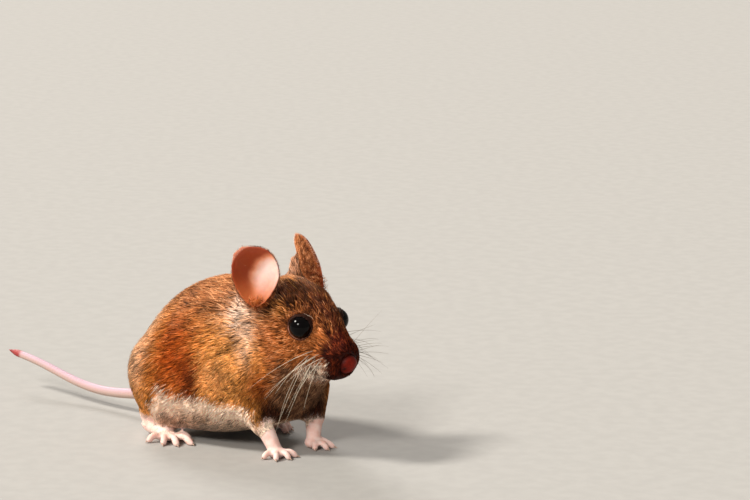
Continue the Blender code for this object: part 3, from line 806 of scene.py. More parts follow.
def coat_colour(shader):
    """The coat's colour from its markings: each is laid over the one before by its share."""
    coat = bpy.context.scene.mouse_coat
    colour = shader.mix(shader.noise(3.0).between(0.35, 0.7), coat.tawny, [c * 0.78 for c in coat.tawny])
    for mark, hue, strength in (
        ("face", coat.cheek, 1.0),
        ("warm", coat.russet, 0.85),
        ("back", coat.saddle, 0.8),
        ("nape", coat.nape, 0.85),
        ("throat", coat.throat, 0.95),
        ("dark", coat.dark, 0.94),
        ("muzzle", coat.muzzle, 0.97),
        ("belly", coat.belly, 1.0),
    ):
        colour = shader.mix(shader.mark(mark) * strength, colour, hue)
    return colour


def fur_material():
    """Tufts: dark toward their roots as painted shade deep in the coat, less so on the belly, each lighter or
    darker than the next, a few with pale tips and some of them dark guard hairs all over."""
    shader = Shader("fur")
    coat = bpy.context.scene.mouse_coat
    names = ("tone", "along", "muzzle", "belly", "warm", "dark")
    tone, along, muzzle, belly, warm, dark = (shader.mark(name) for name in names)
    pale = tone.between(0.72, 0.95) * along.between(0.3, 1.0) * (1 - muzzle)
    pale = pale * (1 - belly * 0.8) * (1 - warm * 0.8) * (1 - dark * 0.9)
    colour = shader.mix(pale * 0.42, coat_colour(shader), coat.tips)
    colour = shader.mix((muzzle + dark * 0.6) * tone.between(0.6, 0.95) * 0.27, colour, coat.glints)
    guard = (1 - tone.between(0.0, 0.14)) * (1 - belly)
    colour = shader.mix(guard * 0.5, colour, coat.dark)
    # Painted shade: each tuft darker toward its root, as if shaded deep in the coat, less on the belly; the
    # tone part is each tuft's own lightness.
    root = 0.26 + 0.64 * belly
    shade = (root + (1.04 - root) * along.between(0.0, 0.75)) * (0.4 + 1.26 * tone)
    colour = shader.mix(1.0, colour, shader.grey(shade), "MULTIPLY")
    return shader.finish({"Base Color": colour, "Roughness": 0.55 + 0.16 * tone, "Specular IOR Level": 0.06})


def flesh(weight, reach):
    """The sockets that let light sink into flesh: how strongly, and how many millimetres its red, green
    and blue go."""
    radius = tuple(part * MM for part in reach)
    return {"Subsurface Weight": weight, "Subsurface Radius": radius, "Subsurface Scale": 1.0}


def skin_material():
    """Skin: a darker echo of the coat where hair covers it, mottled pink on the feet and a dark rim on
    the lids, with fine creases."""
    shader = Shader("skin")
    fine = shader.noise(0.5, 4.0)
    pink = bpy.context.scene.mouse_bare.pink
    under = shader.mix(1.0, coat_colour(shader), (0.5, 0.44, 0.42), "MULTIPLY")
    flush = shader.mix(shader.noise(1.6, 3.0).between(0.35, 0.7), pink, (0.80, 0.50, 0.43))
    flush = shader.mix(fine.between(0.5, 0.8) * 0.35, flush, (0.86, 0.66, 0.62))
    colour = shader.mix(shader.mark("bare"), under, flush)
    lid = shader.mark("lid")
    colour = shader.mix(lid.between(0.1, 0.6), colour, (0.022, 0.006, 0.003))
    colour = shader.mix(lid.between(0.7, 1.0) * shader.mark("lower") * 0.8, colour, (0.50, 0.20, 0.13))
    return shader.finish(
        {
            "Base Color": colour,
            "Roughness": 0.48 + 0.2 * fine,
            "Specular IOR Level": 0.14,
            "Normal": shader.bump(fine, 0.05, 0.8),
            **flesh(0.12, (0.6, 0.25, 0.15)),
        }
    )


def outward_faces(points, faces):
    """The same mesh with its faces turned to point out, going by the sign of its volume."""
    corners = points[faces[:, :3]]
    volume = (corners[:, 0] * np.cross(corners[:, 1], corners[:, 2])).sum()
    return points, faces if volume > 0 else faces[:, ::-1]


class FIELDMOUSE_OT_skin(bpy.types.Operator):
    """One skin for all the flesh, sunk under the coat, bare on the feet and the rims of the eyes."""

    bl_idname = "field_mouse.skin"
    bl_label = "Skin"

    def execute(self, context):
        points, faces = skin_form().surface(flatness=0.015)
        marks = markings(points, skin_form().outward(points))
        marks["lid"] = 1 - smooth(eye_gap(points), 0.15, 0.55)
        marks["lower"] = smooth(-face_places(points)[:, 2], 0.2, 2.0)
        add_piece("skin", points, faces, skin_material(), "fur", marks, FLESH)
        return {"FINISHED"}


def region_of(points):
    """Which coat piece each place belongs to."""
    body = body_places(points)
    along, _, height = body.T
    forward = face_places(points)[:, 0]
    right = points[:, 1] < BROW[1]
    names = np.full(len(points), "coat_back", dtype="<U24")
    head = past_neck(body) > -11.0
    feet = feet_form().at(points)
    choices = (
        ("coat_rump", along < -38),
        ("coat_haunch_left", (along < -24) & (height < 27)),
        ("coat_haunch_right", (along < -24) & (height < 27) & right),
        ("coat_flank_left", (along >= -24) & (height < 27)),
        ("coat_flank_right", (along >= -24) & (height < 27) & right),
        ("coat_neck", along > -17),
        ("coat_hindleg_left", feet < 5.0),
        ("coat_hindleg_right", (feet < 5.0) & right),
        ("coat_forelegs", (feet < 5.0) & (along > -22)),
        ("coat_crown", head),
        ("coat_face_left", head & (forward > -2.0)),
        ("coat_face_right", head & (forward > -2.0) & right),
        ("coat_muzzle", head & (forward > 5.0)),
    )
    for name, where in choices:
        names[where] = name
    return names


SHORTEST = 0.45  # a tuft's length where the coat has no depth


def tuft_length(depth):
    """Longer where the coat is deeper."""
    longest = bpy.context.scene.mouse_coat.hair_length / MM
    return SHORTEST + (longest - SHORTEST) * (depth / TRUNK_DEPTH) ** 0.8


def tuft_width(length):
    """A little more on a longer tuft."""
    return 0.088 + 0.037 * length


def nose_front(points):
    """How far each place lies toward the nose's front and a little down, as a share of its radius."""
    forward, _, up = ((points - NOSE) @ face_axes(1).T / NOSE_RADII).T
    return forward - 0.25 * up


DEEP_COAT = 0.7
LOCK_SIZES = (0.8, 0.55)  # edges of the cubes that make one lock, in coat deeper than that and in the rest


def locks(roots, depths, draw):
    """The way from each root to the middle of its lock of hair, and a random number for each lock: the
    roots that share a small cube of space are one lock, and the cubes are bent by a soft field."""
    deep = depths > DEEP_COAT
    size = np.where(deep, *LOCK_SIZES)
    bent = roots + 0.3 * np.stack([ripple(roots, 2.2, seed) for seed in (21, 22, 23)], 1)
    cubes = np.column_stack([np.floor(bent / size[:, None]), deep]).astype(np.int64)
    _, lock = np.unique(cubes, axis=0, return_inverse=True)
    lock = lock.reshape(-1)
    count = np.bincount(lock)
    centre = np.stack([np.bincount(lock, roots[:, i]) / count for i in range(3)], 1)
    return centre[lock] - roots, draw.random(len(count))[lock]


def coat_density(places):
    """How many tufts stand on a square millimetre: enough to lie as many deep as the cover says, fewer on
    the face, next to none on the feet, and none that would touch the floor. The wrists stay furred."""
    depth = coat_depth(places)
    length = tuft_length(depth)
    height = places[:, 2]
    wrists = 0.7 * smooth(height, 2.5, 5.0) * (places[:, 0] > BROW[0] - 20)
    furred = mixed(0.04 + wrists, 1.0, smooth(feet_form().at(places), 0.5, 2.6)) * smooth(height, 0.6, 1.6)
    cover = bpy.context.scene.mouse_coat.cover * mixed(0.62, 1.0, smooth(depth, 0.2, 1.0))
    return cover * furred / (0.5 * length * tuft_width(length))


BARE_RIM = 0.12  # how far from lids and eyeballs the first hairs stand
NOSE_EDGE = 0.6  # where the hair ends, going toward the nose's front


class FIELDMOUSE_OT_coat(bpy.types.Operator):
    """The coat: tufts that rise from the skin and end in the coat's outline, a piece for each region."""

    bl_idname = "field_mouse.coat"
    bl_label = "Coat"

    def execute(self, context):
        draw = np.random.default_rng(2207)
        skin = skin_form()
        roots = spread_roots(*skin.surface(), coat_density, draw)
        off_eyes = (lid_gap(roots) > BARE_RIM) & (eye_gap(roots) > BARE_RIM)
        roots = roots[off_eyes & (nose_front(roots) < NOSE_EDGE)]
        normals = skin.outward(roots)
        depths = coat_depth(roots)
        lengths = tuft_length(depths) * draw.uniform(0.7, 1.2, len(roots))
        lengths = np.minimum(lengths, 0.35 + 0.55 * eye_gap(roots))
        ways = lie_of_coat(roots, normals)
        part = 0.30 * ripple(roots, 1.6, 8) + 0.13 * draw.normal(size=len(roots))
        inward, lock_tone = locks(roots, depths, draw)
        inward = flattened(inward, normals)
        ways = unit(ways + np.cross(normals, ways) * part[:, None] + 0.75 * inward / lengths[:, None])
        clump = 0.16 * ripple(roots, 2.8, 5) + 0.62 * (lock_tone - 0.5)
        tone = np.clip(0.5 + clump + 0.72 * (draw.random(len(roots)) - 0.5), 0, 1)
        widths = tuft_width(lengths) * draw.uniform(0.75, 1.2, len(roots))
        astray = (0.2 + 0.5 * depths)[:, None] * draw.normal(size=roots.shape)
        marks = markings(roots + (0.6 * lengths)[:, None] * ways + astray, normals)
        marks["belly"] = np.maximum(marks["belly"], 0.9 * marks["bare"] ** 4)
        body = body_places(roots)
        along, _, height = body.T
        # Painted light: tufts high on the belly behind the forelegs made lighter, as if lit from the side.
        light = 0.28 * marks["belly"] * smooth(height, 6.0, 9.0) * smooth(-along, 9.0, 13.0)
        marks["tone"] = np.clip(tone + light + sum(spots(body, TONE_SPOTS).values()), 0, 1.1)
        lengths = lengths + 0.6 * marks["bare"]
        names = region_of(roots)
        material = fur_material()
        tufts = {
            "roots": roots,
            "normals": normals,
            "ways": ways,
            "lengths": lengths,
            "widths": widths,
            "depths": depths,
        }
        for name in sorted(set(names)):
            chosen = names == name
            if chosen.sum() > MOST_TUFTS:
                raise RuntimeError(f"{name} would have {chosen.sum()} tufts, over {MOST_TUFTS}")
            own = [{key: values[chosen] for key, values in table.items()} for table in (tufts, marks)]
            add_tufts(name, *own, (0, 0, 0, 0.45, 0.45, 0.45, 1.0), coat_form(), draw, material)
        return {"FINISHED"}


def ear_frame(side):
    """The ear's middle, and its own axes from the spread of its node's points: the way its hollow faces,
    its front and its height. The height is the way of the greatest spread, the facing of the least."""
    points = node_mesh(["ear_" + side])[0]
    centre = (points.min(0) + points.max(0)) / 2
    _, ways = np.linalg.eigh(np.cov((points - centre).T))
    facing, front, height = ways.T
    facing = facing * np.sign(facing[1] * SIDES[side])
    front = front * np.sign(front[0])
    height = height * np.sign(height[2])
    return centre, facing, front, height


def ear_places(points, side):
    """Place over the ear's oval: across from its back edge, -1, to its front edge, 1, and up from its
    root, -1, to its tip, 1, and how far out from the middle of its plane."""
    centre, facing, front, height = ear_frame(side)
    node = node_mesh(["ear_" + side])[0] - centre
    away = points - centre
    reach = [np.abs(node @ way).max() for way in (front, height)]
    return away @ front / reach[0], away @ height / reach[1], away @ facing


def ear_material():
    """The ear's hollow: bright pink toward its front and dark red toward its back, partly its own colour and
    partly painted light and shade, orange at its root, a pale rim, fine veins and down."""
    shader = Shader("ear")
    coat, bare = bpy.context.scene.mouse_coat, bpy.context.scene.mouse_bare
    across, up, inside = shader.mark("across"), shader.mark("up"), shader.mark("inside")
    fine = shader.noise(0.4, 4.0)
    aside, above = (across - 0.62) / 0.85, (up + 0.14) / 0.7
    # Painted light and shade over the ear's own pink and red: bright where the hollow is lit and light shines
    # through it, dark red toward its shaded back.
    pale_and_lit = (1.0 - aside * aside - above * above + 0.6 * (shader.noise(2.5) - 0.5)).between(-0.7, 0.95)
    colour = shader.mix(pale_and_lit.between(0.0, 0.55), bare.flush, (0.60, 0.22, 0.11))
    colour = shader.mix(pale_and_lit.between(0.3, 1.0), colour, bare.shell)
    colour = shader.mix((1 - up).between(0.8, 1.7) * 0.85, colour, (0.44, 0.11, 0.03))
    veins = shader.maths("ABSOLUTE", shader.noise(1.4, 5.0, (1, 1, 0.5)) - 0.5)
    colour = shader.mix((1 - veins.between(0.0, 0.02)) * 0.06, colour, (0.42, 0.10, 0.06))
    back = shader.mix(fine.between(0.35, 0.65), coat.cheek, coat.saddle)
    colour = shader.mix(inside, back, colour)
    rim = shader.mix(across.between(0.1, 0.6), (0.50, 0.22, 0.14), coat.dark)
    colour = shader.mix(shader.mark("rim") * 0.7, colour, rim)
    return shader.finish(
        {
            "Base Color": colour,
            "Roughness": 0.5 + 0.2 * fine,
            "Specular IOR Level": 0.2,
            "Normal": shader.bump(fine, 0.04, 0.7),
            **flesh(0.5, (2.2, 0.7, 0.4)),
        }
    )


BLUR_LOSS = 0.03  # how much an ear's smoothing would thin each of its faces


def add_ear_shell(side, material):
    """One thin cupped ear, with soft ridges in its hollow: waves that ring a point at the front of its
    root. Gives back its form and its mesh."""
    solid = form_of(*node_mesh(["ear_" + side]), step=0.12, reach=2.4)
    form = Form(solid.low, solid.step, blurred(solid.values, 1.3) - BLUR_LOSS)
    points, faces = form.surface()
    normals = form.outward(points)
    across, up, _ = ear_places(points, side)
    inside = smooth(normals @ ear_frame(side)[1], -0.1, 0.35)
    edge = np.hypot(across, up)
    fold = np.sin(9.5 * (np.hypot(across - 1.0, up + 0.9) - 0.2)) * smooth(-edge, -0.92, -0.7)
    fold = fold * inside * smooth(across - 0.6 * up, -0.6, 0.3)
    points = points + normals * (0.10 * fold)[:, None]
    marks = {"across": across, "up": up, "inside": inside, "rim": smooth(edge, 0.93, 1.0)}
    add_piece("ear_shell_" + side, points, faces, material, "ear", marks, ["ear_" + side])
    return form, points, faces


EAR_COVER = 42  # tufts to a square millimetre where an ear's down is thickest


def add_ear_down(side, form, points, faces, material, draw):
    """The ear's own coat: short down on its back that thins at the rim, and longer hair at its root."""
    _, facing, front, height = ear_frame(side)

    def density(places):
        across, up, _ = ear_places(places, side)
        edge = np.hypot(across, up)
        back = 1 - smooth(form.outward(places) @ facing, -0.2, 0.3)
        back = back * (1 - 0.55 * smooth(edge, 0.84, 0.95))
        return EAR_COVER * np.maximum.reduce([back, 0.06 * smooth(edge, 0.9, 1.0), smooth(-up, 0.74, 0.95)])

    roots = spread_roots(points, faces, density, draw)
    normals = form.outward(roots)
    across, up, _ = ear_places(roots, side)
    edge = np.hypot(across, up)
    inside, rooted = smooth(normals @ facing, -0.2, 0.3), smooth(-up, 0.4, 0.9)
    back, open_part = 1 - inside, 1 - rooted
    outward = unit(roots - middle("ear_" + side)) * (0.8 * open_part)[:, None]
    ways = outward + height * 0.9 - 0.25 * front + 0.4 * draw.normal(size=roots.shape)
    lengths = (0.8 + (1.7 - 1.1 * inside) * rooted) * draw.uniform(0.7, 1.3, len(roots))
    lengths *= 1 - 0.7 * smooth(edge, 0.78, 1.0)
    speckle = draw.uniform(0.05, 1.0, len(roots)) + 0.2 * ripple(roots, 1.1, 42)
    streak = 0.4 + 0.8 * smooth(ripple(roots, 1.5, 41), -0.2, 0.7)
    dark = back * mixed(0.15, 0.75, smooth(across, -0.6, 0.6)) * streak
    pale = np.maximum(0.6 * smooth(edge, 0.92, 1.0) * open_part, 0.3 * inside * open_part)
    marks = {
        **{mark: np.zeros(len(roots)) for mark in ("muzzle", "nape", "throat")},
        "belly": np.maximum(pale, back * rooted * smooth(-across, 0.3, 0.7)),
        "warm": 0.4 * rooted,
        "face": np.ones(len(roots)),
        "back": 0.5 * back * open_part,
        "dark": dark * (1 - smooth(edge, 0.9, 1.0)),
        "tone": np.clip(np.maximum(speckle, 0.6 * smooth(edge, 0.88, 0.96)), 0, 1),
    }
    tufts = {
        "roots": roots,
        "normals": normals,
        "ways": unit(flattened(ways, normals)),
        "lengths": lengths,
        "widths": 0.07 + 0.03 * lengths,
        "depths": 0.10 + 0.2 * rooted * back,
    }
    index, places = form.near(0.9)
    rising = form.values - 0.3
    rising[index] -= 0.7 * smooth(-ear_places(places, side)[1], 0.35, 0.8)
    tips_on = Form(form.low, form.step, rising)
    add_tufts("coat_ear_" + side, tufts, marks, (0.4, 0.4, 0.4, 0.7, 0.7, 0.7, 1.0), tips_on, draw, material)


class FIELDMOUSE_OT_ears(bpy.types.Operator):
    """Both ears, each a shell with its down."""

    bl_idname = "field_mouse.ears"
    bl_label = "Ears"

    def execute(self, context):
        draw = np.random.default_rng(31)
        shell, fur = ear_material(), fur_material()
        for side in SIDES:
            add_ear_down(side, *add_ear_shell(side, shell), fur, draw)
        return {"FINISHED"}


def ball(centre, radii, axes, rows=48, columns=64):
    """A closed oval ball: rings of points from pole to pole, the poles on the first axis. Its points are
    given on a ball of radius 1 too."""
    tilt = np.linspace(0, math.pi, rows + 1)[1:-1]
    turn = np.linspace(0, 2 * math.pi, columns, endpoint=False)
    tilt, turn = np.meshgrid(tilt, turn, indexing="ij")
    rings = np.stack([np.cos(tilt), np.sin(tilt) * np.cos(turn), np.sin(tilt) * np.sin(turn)], -1)
    local = np.concatenate([rings.reshape(-1, 3), [[1, 0, 0], [-1, 0, 0]]])
    faces = ring_faces(rows - 1, columns, len(local) - 2, len(local) - 1)
    return local, centre + (local * radii) @ axes, faces


class FIELDMOUSE_OT_eyes(bpy.types.Operator):
    """Glossy black eyeballs, a faint brown showing toward their middle."""

    bl_idname = "field_mouse.eyes"
    bl_label = "Eyes"

    def execute(self, context):
        shader = Shader("eye")
        dark = context.scene.mouse_bare.eye
        colour = shader.mix(shader.noise(1.5).between(0.3, 0.8), dark, [c * 2.2 for c in dark])
        material = shader.finish(
            {"Base Color": colour, "Roughness": 0.04 + 0.02 * shader.noise(0.4), "Specular IOR Level": 0.12}
        )
        for side, centre in EYES.items():
            axes = np.array([FACE_LEFT * SIDES[side], FACE_FORWARD, FACE_UP])
            points, faces = outward_faces(*ball(centre, (EYE_RADIUS,) * 3, axes)[1:])
            add_piece("eyeball_" + side, points, faces, material, "eye", replaced=["eye_" + side])
        return {"FINISHED"}


class FIELDMOUSE_OT_nose(bpy.types.Operator):
    """The bare nose: an oval pad with a nostril hollow on each side and a groove down its middle."""

    bl_idname = "field_mouse.nose"
    bl_label = "Nose"

    def execute(self, context):
        axes = face_axes(1)
        local, points, faces = ball(NOSE, NOSE_RADII, axes, 64, 96)
        forward, aside, up = local.T
        nostrils = [bell(local, (0.55, 0.66 * sign, -0.12), (0.34, 0.2, 0.26)) for sign in SIDES.values()]
        dents = 0.42 * sum(nostrils)
        groove = 0.16 * np.exp(-((aside / 0.1) ** 2)) * smooth(forward, 0.1, 0.6) * smooth(-up, -0.3, 0.3)
        points = points - unit(local / NOSE_RADII) @ axes * (dents + groove)[:, None]
        shader = Shader("nose")
        bare = context.scene.mouse_bare.nose
        pores, lumps = shader.noise(0.22, 3.0), shader.noise(0.9, 3.0)
        bright = pores.between(0.35, 0.7) * 0.6 + lumps.between(0.4, 0.7) * 0.4
        colour = shader.mix(bright, bare, [c * 2.2 for c in bare])
        rear = 1 - shader.mark("front").between(-0.1, 1.15)
        colour = shader.mix(rear, colour, [c * 0.18 for c in bare])
        colour = shader.mix(shader.mark("hollow"), colour, (0.012, 0.003, 0.002))
        material = shader.finish(
            {
                "Base Color": colour,
                "Roughness": 0.38 + 0.2 * pores,
                "Specular IOR Level": 0.09,
                "Normal": shader.bump(pores, 0.09, 0.9),
            }
        )
        marks = {"hollow": np.clip(dents * 2.2, 0, 1), "front": forward + 0.3 * up}
        add_piece("nose_pad", *outward_faces(points, faces), material, "nose", marks, ["nose"])
        return {"FINISHED"}


def horn_material():
    """Claws: brown horn, paler toward the tip."""
    shader = Shader("claw")
    horn = bpy.context.scene.mouse_bare.claw
    grain = shader.noise(0.3, 3.0, (1, 1, 3))
    colour = shader.mix(shader.mark("along").between(0.1, 0.9), horn, (0.55, 0.38, 0.29))
    colour = shader.mix(grain.between(0.4, 0.8) * 0.5, colour, (0.16, 0.07, 0.05))
    return shader.finish({"Base Color": colour, "Roughness": 0.28 + 0.2 * grain})


# Where each toe ends, as shares of its foot's box forward and outward.
TOES = {
    "forepaw_right": ((0.448, 0.995), (0.844, 0.893), (0.99, 0.453), (0.932, 0.04)),
    "forepaw_left": ((0.573, 0.969), (0.946, 0.755), (0.99, 0.357), (0.747, 0.021)),
    "hindfoot_right": ((0.471, 0.985), (0.742, 0.95), (0.904, 0.767), (0.99, 0.442), (0.796, 0.117)),
    "hindfoot_left": ((0.517, 0.976), (0.784, 0.821), (0.912, 0.599), (0.99, 0.288), (0.784, 0.022)),
}
CLAW_HEIGHTS = (0.512, 0.17)  # over the floor, at its root and its tip


class FIELDMOUSE_OT_claws(bpy.types.Operator):
    """A small curved claw at the end of each toe: rings along a bow that bends down to the floor."""

    bl_idname = "field_mouse.claws"
    bl_label = "Claws"

    def execute(self, context):
        material = horn_material()
        for foot in FEET:
            side = foot.split("_")[1]
            low, high = box(foot)
            size = high - low
            palm = low + np.array([0.35, 0.5, 0]) * size
            share = np.linspace(0, 1, 9)[:, None]
            parts = []
            for ahead, outside in TOES[foot]:
                out = outside if SIDES[side] > 0 else 1 - outside
                tip = low + np.array([ahead, out, 0]) * size
                path = tip + unit(tip - palm) * (1.15 * share - 0.75)
                path[:, 2:] = mixed(*CLAW_HEIGHTS, share**2)
                parts.append(tube(path, 0.20 * (1 - share[:, 0] ** 1.6) + 0.03, 8, 1.15))
            along = np.tile(np.append(np.repeat(share[:, 0], 8), [0, 1]), len(parts))
            points, faces = outward_faces(*joined(parts))
            add_piece("claws_" + foot, points, faces, material, "bare_skin", {"along": along})
        return {"FINISHED"}


# Each side's whiskers: their way forward, outward and up, how much it changes with each place back along
# a row and with each row down, the shortest and longest, and the bend at the tip.
WHISKERS = {
    "right": (
        (-0.50, 0.70, -0.06), (-0.15, -0.04, -0.10), (0.05, -0.10, -0.34),
        (8.0, 18.5), (-0.14, -0.16, -0.40),
    ),
    "left": (
        (0.78, 0.85, 0.34), (-0.14, 0.05, -0.03), (0.0, -0.04, -0.26),
        (8.5, 14.5), (-0.16, -0.10, -0.14),
    ),
}
ROWS = 4
PLACES = {"right": 3, "left": 5}  # whiskers in a row
SHADED = {"right": 0.0, "left": 0.75}  # how dark each side's hairs are
# Single hairs over the eyes, and one by the left ones: forward, outward and up from between the eyes, the
# way it goes, and its length.
BROW_HAIRS = (((1.5, 4.6, 4.6), (-0.1, 0.5, 0.9), 3.0), ((0.2, 4.8, 5.0), (-0.3, 0.5, 0.8), 2.5))
LONE_HAIRS = {"right": BROW_HAIRS, "left": (*BROW_HAIRS, ((8.2, 3.4, 1.4), (0.25, 0.75, 0.62), 13.0))}


def on_skin(place):
    """The place moved onto the skin, in steps that are each as long as the distance left."""
    for _ in range(12):
        place = place - skin_form().at(place[None])[0] * skin_form().outward(place[None])[0]
    return place


class FIELDMOUSE_OT_whiskers(bpy.types.Operator):
    """Whiskers in rows on the pads, with a few over the eyes: thin tapering hairs along drooping bows,
    each a root, a first way, and a bend that grows with the square of the way along it."""

    bl_idname = "field_mouse.whiskers"
    bl_label = "Whiskers"

    def execute(self, context):
        shader = Shader("whisker")
        along = shader.mark("along")
        pale = context.scene.mouse_bare.whisker
        colour = shader.mix(along.between(0.0, 0.3), (0.05, 0.025, 0.018), pale)
        colour = shader.mix(shader.noise(2.0) * 0.4, colour, [c * 0.8 for c in pale])
        colour = shader.mix(shader.mark("shade"), colour, (0.05, 0.03, 0.022))
        material = shader.finish({"Base Color": colour, "Roughness": 0.4 + 0.1 * along})
        draw = np.random.default_rng(77)
        share = np.linspace(0, 1, 15)[:, None]
        for side, sign in SIDES.items():
            outward = np.array([1, sign, 1])
            way, by_place, by_row, (shortest, longest), bend = (np.array(part) for part in WHISKERS[side])
            hairs = []
            for row, place in itertools.product(range(ROWS), range(PLACES[side])):
                base = np.array([9.2 - 1.6 * place - 0.2 * row, 6.0, -0.6 - 0.85 * row - 0.2 * place])
                length = mixed(shortest, longest, place / (PLACES[side] - 1)) * draw.uniform(0.8, 1.1)
                hairs.append((base, way + 1.2 * place * by_place + row * by_row, length, 0.052))
            for base, lone, length in LONE_HAIRS[side]:
                hairs.append((np.array(base), np.array(lone), length, 0.04))
            parts = []
            for base, hair, length, radius in hairs:
                hair = unit(hair + 0.09 * draw.normal(size=3)) * outward
                curve = (bend + 0.06 * draw.normal(size=3)) * outward
                root = on_skin(BROW + base @ face_axes(sign))
                path = root - 0.3 * hair + length * (share * hair + share**2 * curve)
                parts.append(tube(path, radius * (1 - 0.8 * share[:, 0]), 5))
            points, faces = outward_faces(*joined(parts))
            marks = {
                "along": np.tile(np.append(np.repeat(share[:, 0], 5), [0, 1]), len(parts)),
                "shade": np.full(len(points), SHADED[side]),
            }
            add_piece("whiskers_" + side, points, faces, material, "fur", marks)
        return {"FINISHED"}


SCALE_ROWS = 64  # rings of scales on the tail


class FIELDMOUSE_OT_tail(bpy.types.Operator):
    """The tail: a round profile carried along the middle of its nodes, with a fine ring for each row of
    scales, narrowing at its raw end."""

    bl_idname = "field_mouse.tail"
    bl_label = "Tail"

    def execute(self, context):
        points = node_mesh(TAIL)[0]
        low, high = points[:, 0].min(), points[:, 0].max()
        cuts = np.linspace(low + 2.5, high - 1.0, 40)
        slices = [points[np.abs(points[:, 0] - cut) < 1.6] for cut in cuts]
        slices = [s for s in slices if len(s) > 8]
        cuts = np.array([s[:, 0].mean() for s in slices])
        centre = np.array([(s.min(0) + s.max(0)) / 2 for s in slices])
        radius = np.array([np.ptp(s[:, 1]) / 2 for s in slices])
        share = np.linspace(0, 1, 620)
        along = mixed(high - 0.3, low, share)
        aside = np.polyval(np.polyfit(cuts, centre[:, 1], 1), along)
        height = np.polyval(np.polyfit(cuts, centre[:, 2], 6), along)
        thick = np.polyval(np.polyfit(cuts, radius, 1), along)
        ends = smooth(along - low, -0.4, 3.6)
        ring = np.abs(np.sin(share * math.pi * SCALE_ROWS))
        size = thick * (0.22 + 0.78 * ends) * (0.965 + 0.035 * ring)
        size *= 1 - 0.5 * (1 - smooth(along - low, 0.0, 0.9))
        path = np.stack([along, aside, height], 1)
        sides = 24
        points, faces = outward_faces(*tube(path, size, sides))
        top = np.sin(np.linspace(0, 2 * math.pi, sides, endpoint=False))
        marks = {
            "ring": np.append(np.repeat(ring, sides), [0, 0]),
            "raw": np.append(np.repeat(1 - smooth(along - low, 4.0, 5.4), sides), [0, 1]),
            "crust": np.append(np.repeat(1 - smooth(along - low, 1.2, 2.8), sides), [0, 1]),
            "top": np.append(np.tile(top, len(share)), [0, 0]),
        }
        shader = Shader("tail")
        bare = context.scene.mouse_bare
        fine, upper = shader.noise(0.5, 4.0), shader.mark("top")
        colour = shader.mix(upper.between(-0.6, 0.9), (0.52, 0.37, 0.31), bare.tail)
        colour = shader.mix(upper.between(0.2, 1.0) * 0.5, colour, (0.46, 0.30, 0.42))
        colour = shader.mix((1 - shader.mark("ring").between(0.0, 0.35)) * 0.3, colour, (0.45, 0.25, 0.24))
        colour = shader.mix(shader.mark("raw"), colour, bare.raw)
        colour = shader.mix(shader.mark("crust") * 0.85, colour, (0.20, 0.02, 0.02))
        material = shader.finish(
            {
                "Base Color": colour,
                "Roughness": 0.45 + 0.2 * fine,
                "Normal": shader.bump(fine, 0.04, 0.7),
                **flesh(0.15, (0.8, 0.3, 0.2)),
            }
        )
        add_piece("tail", points, faces, material, "tail_skin", marks, TAIL)
        return {"FINISHED"}


# Each lamp's degrees round from the mouse's right side toward its front and up from the floor, how wide it
# looks, its colour, which setting holds its strength, and its share of that.
LAMPS = {
    "key light": (-44, 48, 12, (1.0, 0.95, 0.87), "key", 1.0),
    "front light": (14, 36, 15, (1.0, 0.95, 0.88), "key", 0.55),
    "rim light": (-118, 34, 20, (1.0, 0.96, 0.92), "rim", 1.0),
}
FLOOR_REACH = 6000
FLOOR_RINGS, FLOOR_SIDES = 12, 64
CAMERA = (43, 10)  # degrees, as for a lamp
CAMERA_DISTANCE = 0.679  # in metres, as the next two are
EYE_LEFT_OF_MIDDLE = 0.0162
EYE_BELOW_MIDDLE = 0.0167


def way_to(around, above):
    """The way from the mouse to a lamp or the camera."""
    around, above = math.radians(around), math.radians(above)
    return Vector((math.sin(around) * math.cos(above), -math.cos(around) * math.cos(above), math.sin(above)))


def placed(name, data, place, back):
    """A lamp or camera at that place, looking against the way back."""
    item = bpy.data.objects.new(name, data)
    item.location = place
    item.rotation_euler = (-back).to_track_quat("-Z", "Y").to_euler()
    bpy.context.scene.collection.objects.link(item)
    return item


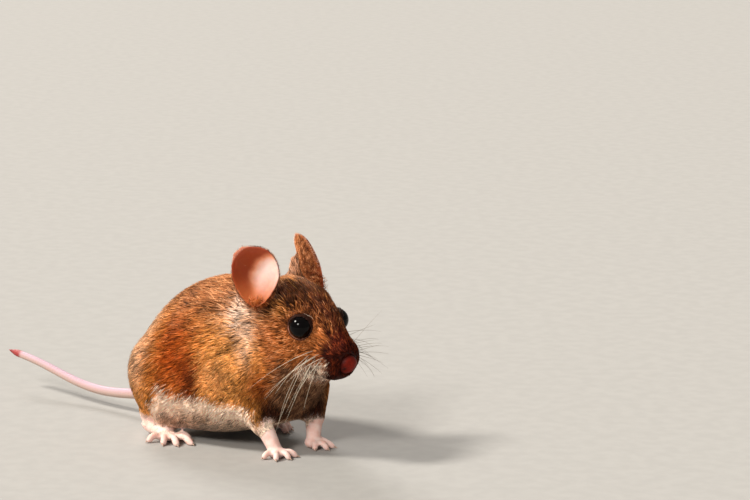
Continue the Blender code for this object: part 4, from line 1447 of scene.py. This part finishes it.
class FIELDMOUSE_OT_stage(bpy.types.Operator):
    """Plain pale floor, soft studio light, and a camera with a long lens that keeps the near eye left of
    and below the middle of its view."""

    bl_idname = "field_mouse.stage"
    bl_label = "Stage"

    def execute(self, context):
        stage, scene = context.scene.mouse_stage, context.scene
        turn = np.linspace(0, 2 * math.pi, FLOOR_SIDES, endpoint=False)
        out = np.linspace(0, FLOOR_REACH, FLOOR_RINGS + 1)[1:, None]
        rings = np.stack([out * np.cos(turn), out * np.sin(turn), out * 0 * turn], -1).reshape(-1, 3)
        points = np.concatenate([rings, [[0, 0, 0]]])
        faces = ring_faces(FLOOR_RINGS, FLOOR_SIDES, len(rings))[:, ::-1]
        mesh = bpy.data.meshes.new("floor")
        mesh.from_pydata((points * MM).tolist(), [], faces.tolist())
        shader = Shader("floor paper")
        grain = shader.noise(4.0, 4.0)
        colour = shader.mix(grain.between(0.3, 0.7), stage.floor, [c * 0.94 for c in stage.floor])
        mesh.materials.append(shader.finish({"Base Color": colour, "Roughness": 0.9 - 0.05 * grain}))
        floor = bpy.data.objects.new("floor", mesh)
        scene.collection.objects.link(floor)
        centre = Vector((CAD_BOX[0] + CAD_BOX[1]) / 2)
        for name, (around, above, width, colour, setting, share) in LAMPS.items():
            lamp = bpy.data.lights.new(name, "SUN")
            lamp.energy = share * getattr(stage, setting)
            lamp.angle = math.radians(width)
            lamp.color = colour
            back = way_to(around, above)
            placed(name, lamp, centre + back * 0.6, back)
        world = bpy.data.worlds.new("studio")
        world.use_nodes = True
        sky = world.node_tree.nodes["Background"]
        sky.inputs["Color"].default_value = (1.0, 0.95, 0.87, 1.0)
        sky.inputs["Strength"].default_value = stage.sky
        scene.world = world
        scene.view_settings.view_transform = "Standard"
        lens = bpy.data.cameras.new("camera")
        lens.lens = stage.lens
        back = way_to(*CAMERA)
        right = Vector((0, 0, 1)).cross(back).normalized()
        aim = Vector(EYES["right"] * MM) + right * EYE_LEFT_OF_MIDDLE + back.cross(right) * EYE_BELOW_MIDDLE
        scene.camera = placed("camera", lens, aim + back * CAMERA_DISTANCE, back)
        return {"FINISHED"}


GROUPS = {"mouse_coat": MouseCoat, "mouse_bare": MouseBare, "mouse_stage": MouseStage}
OPERATORS = (
    FIELDMOUSE_OT_skin,
    FIELDMOUSE_OT_coat,
    FIELDMOUSE_OT_ears,
    FIELDMOUSE_OT_eyes,
    FIELDMOUSE_OT_nose,
    FIELDMOUSE_OT_whiskers,
    FIELDMOUSE_OT_claws,
    FIELDMOUSE_OT_tail,
    FIELDMOUSE_OT_stage,
)


class FIELDMOUSE_PT_panel(bpy.types.Panel):
    """The steps in order, and the sizes and colours they use."""

    bl_label = "Field mouse"
    bl_idname = "FIELDMOUSE_PT_panel"
    bl_space_type = "VIEW_3D"
    bl_region_type = "UI"
    bl_category = "Field mouse"

    def draw(self, context):
        for name, group in GROUPS.items():
            for field in group.__annotations__:
                self.layout.prop(getattr(context.scene, name), field)
        for operator in OPERATORS:
            self.layout.operator(operator.bl_idname)


def register():
    for item in (*GROUPS.values(), *OPERATORS, FIELDMOUSE_PT_panel):
        bpy.utils.register_class(item)
    for name, group in GROUPS.items():
        setattr(bpy.types.Scene, name, PointerProperty(type=group))


def unregister():
    for name in GROUPS:
        delattr(bpy.types.Scene, name)
    for item in reversed((*GROUPS.values(), *OPERATORS, FIELDMOUSE_PT_panel)):
        bpy.utils.unregister_class(item)


def main():
    register()
    for operator in OPERATORS:
        group, name = operator.bl_idname.split(".")
        getattr(getattr(bpy.ops, group), name)()


if __name__ == "__main__":
    main()
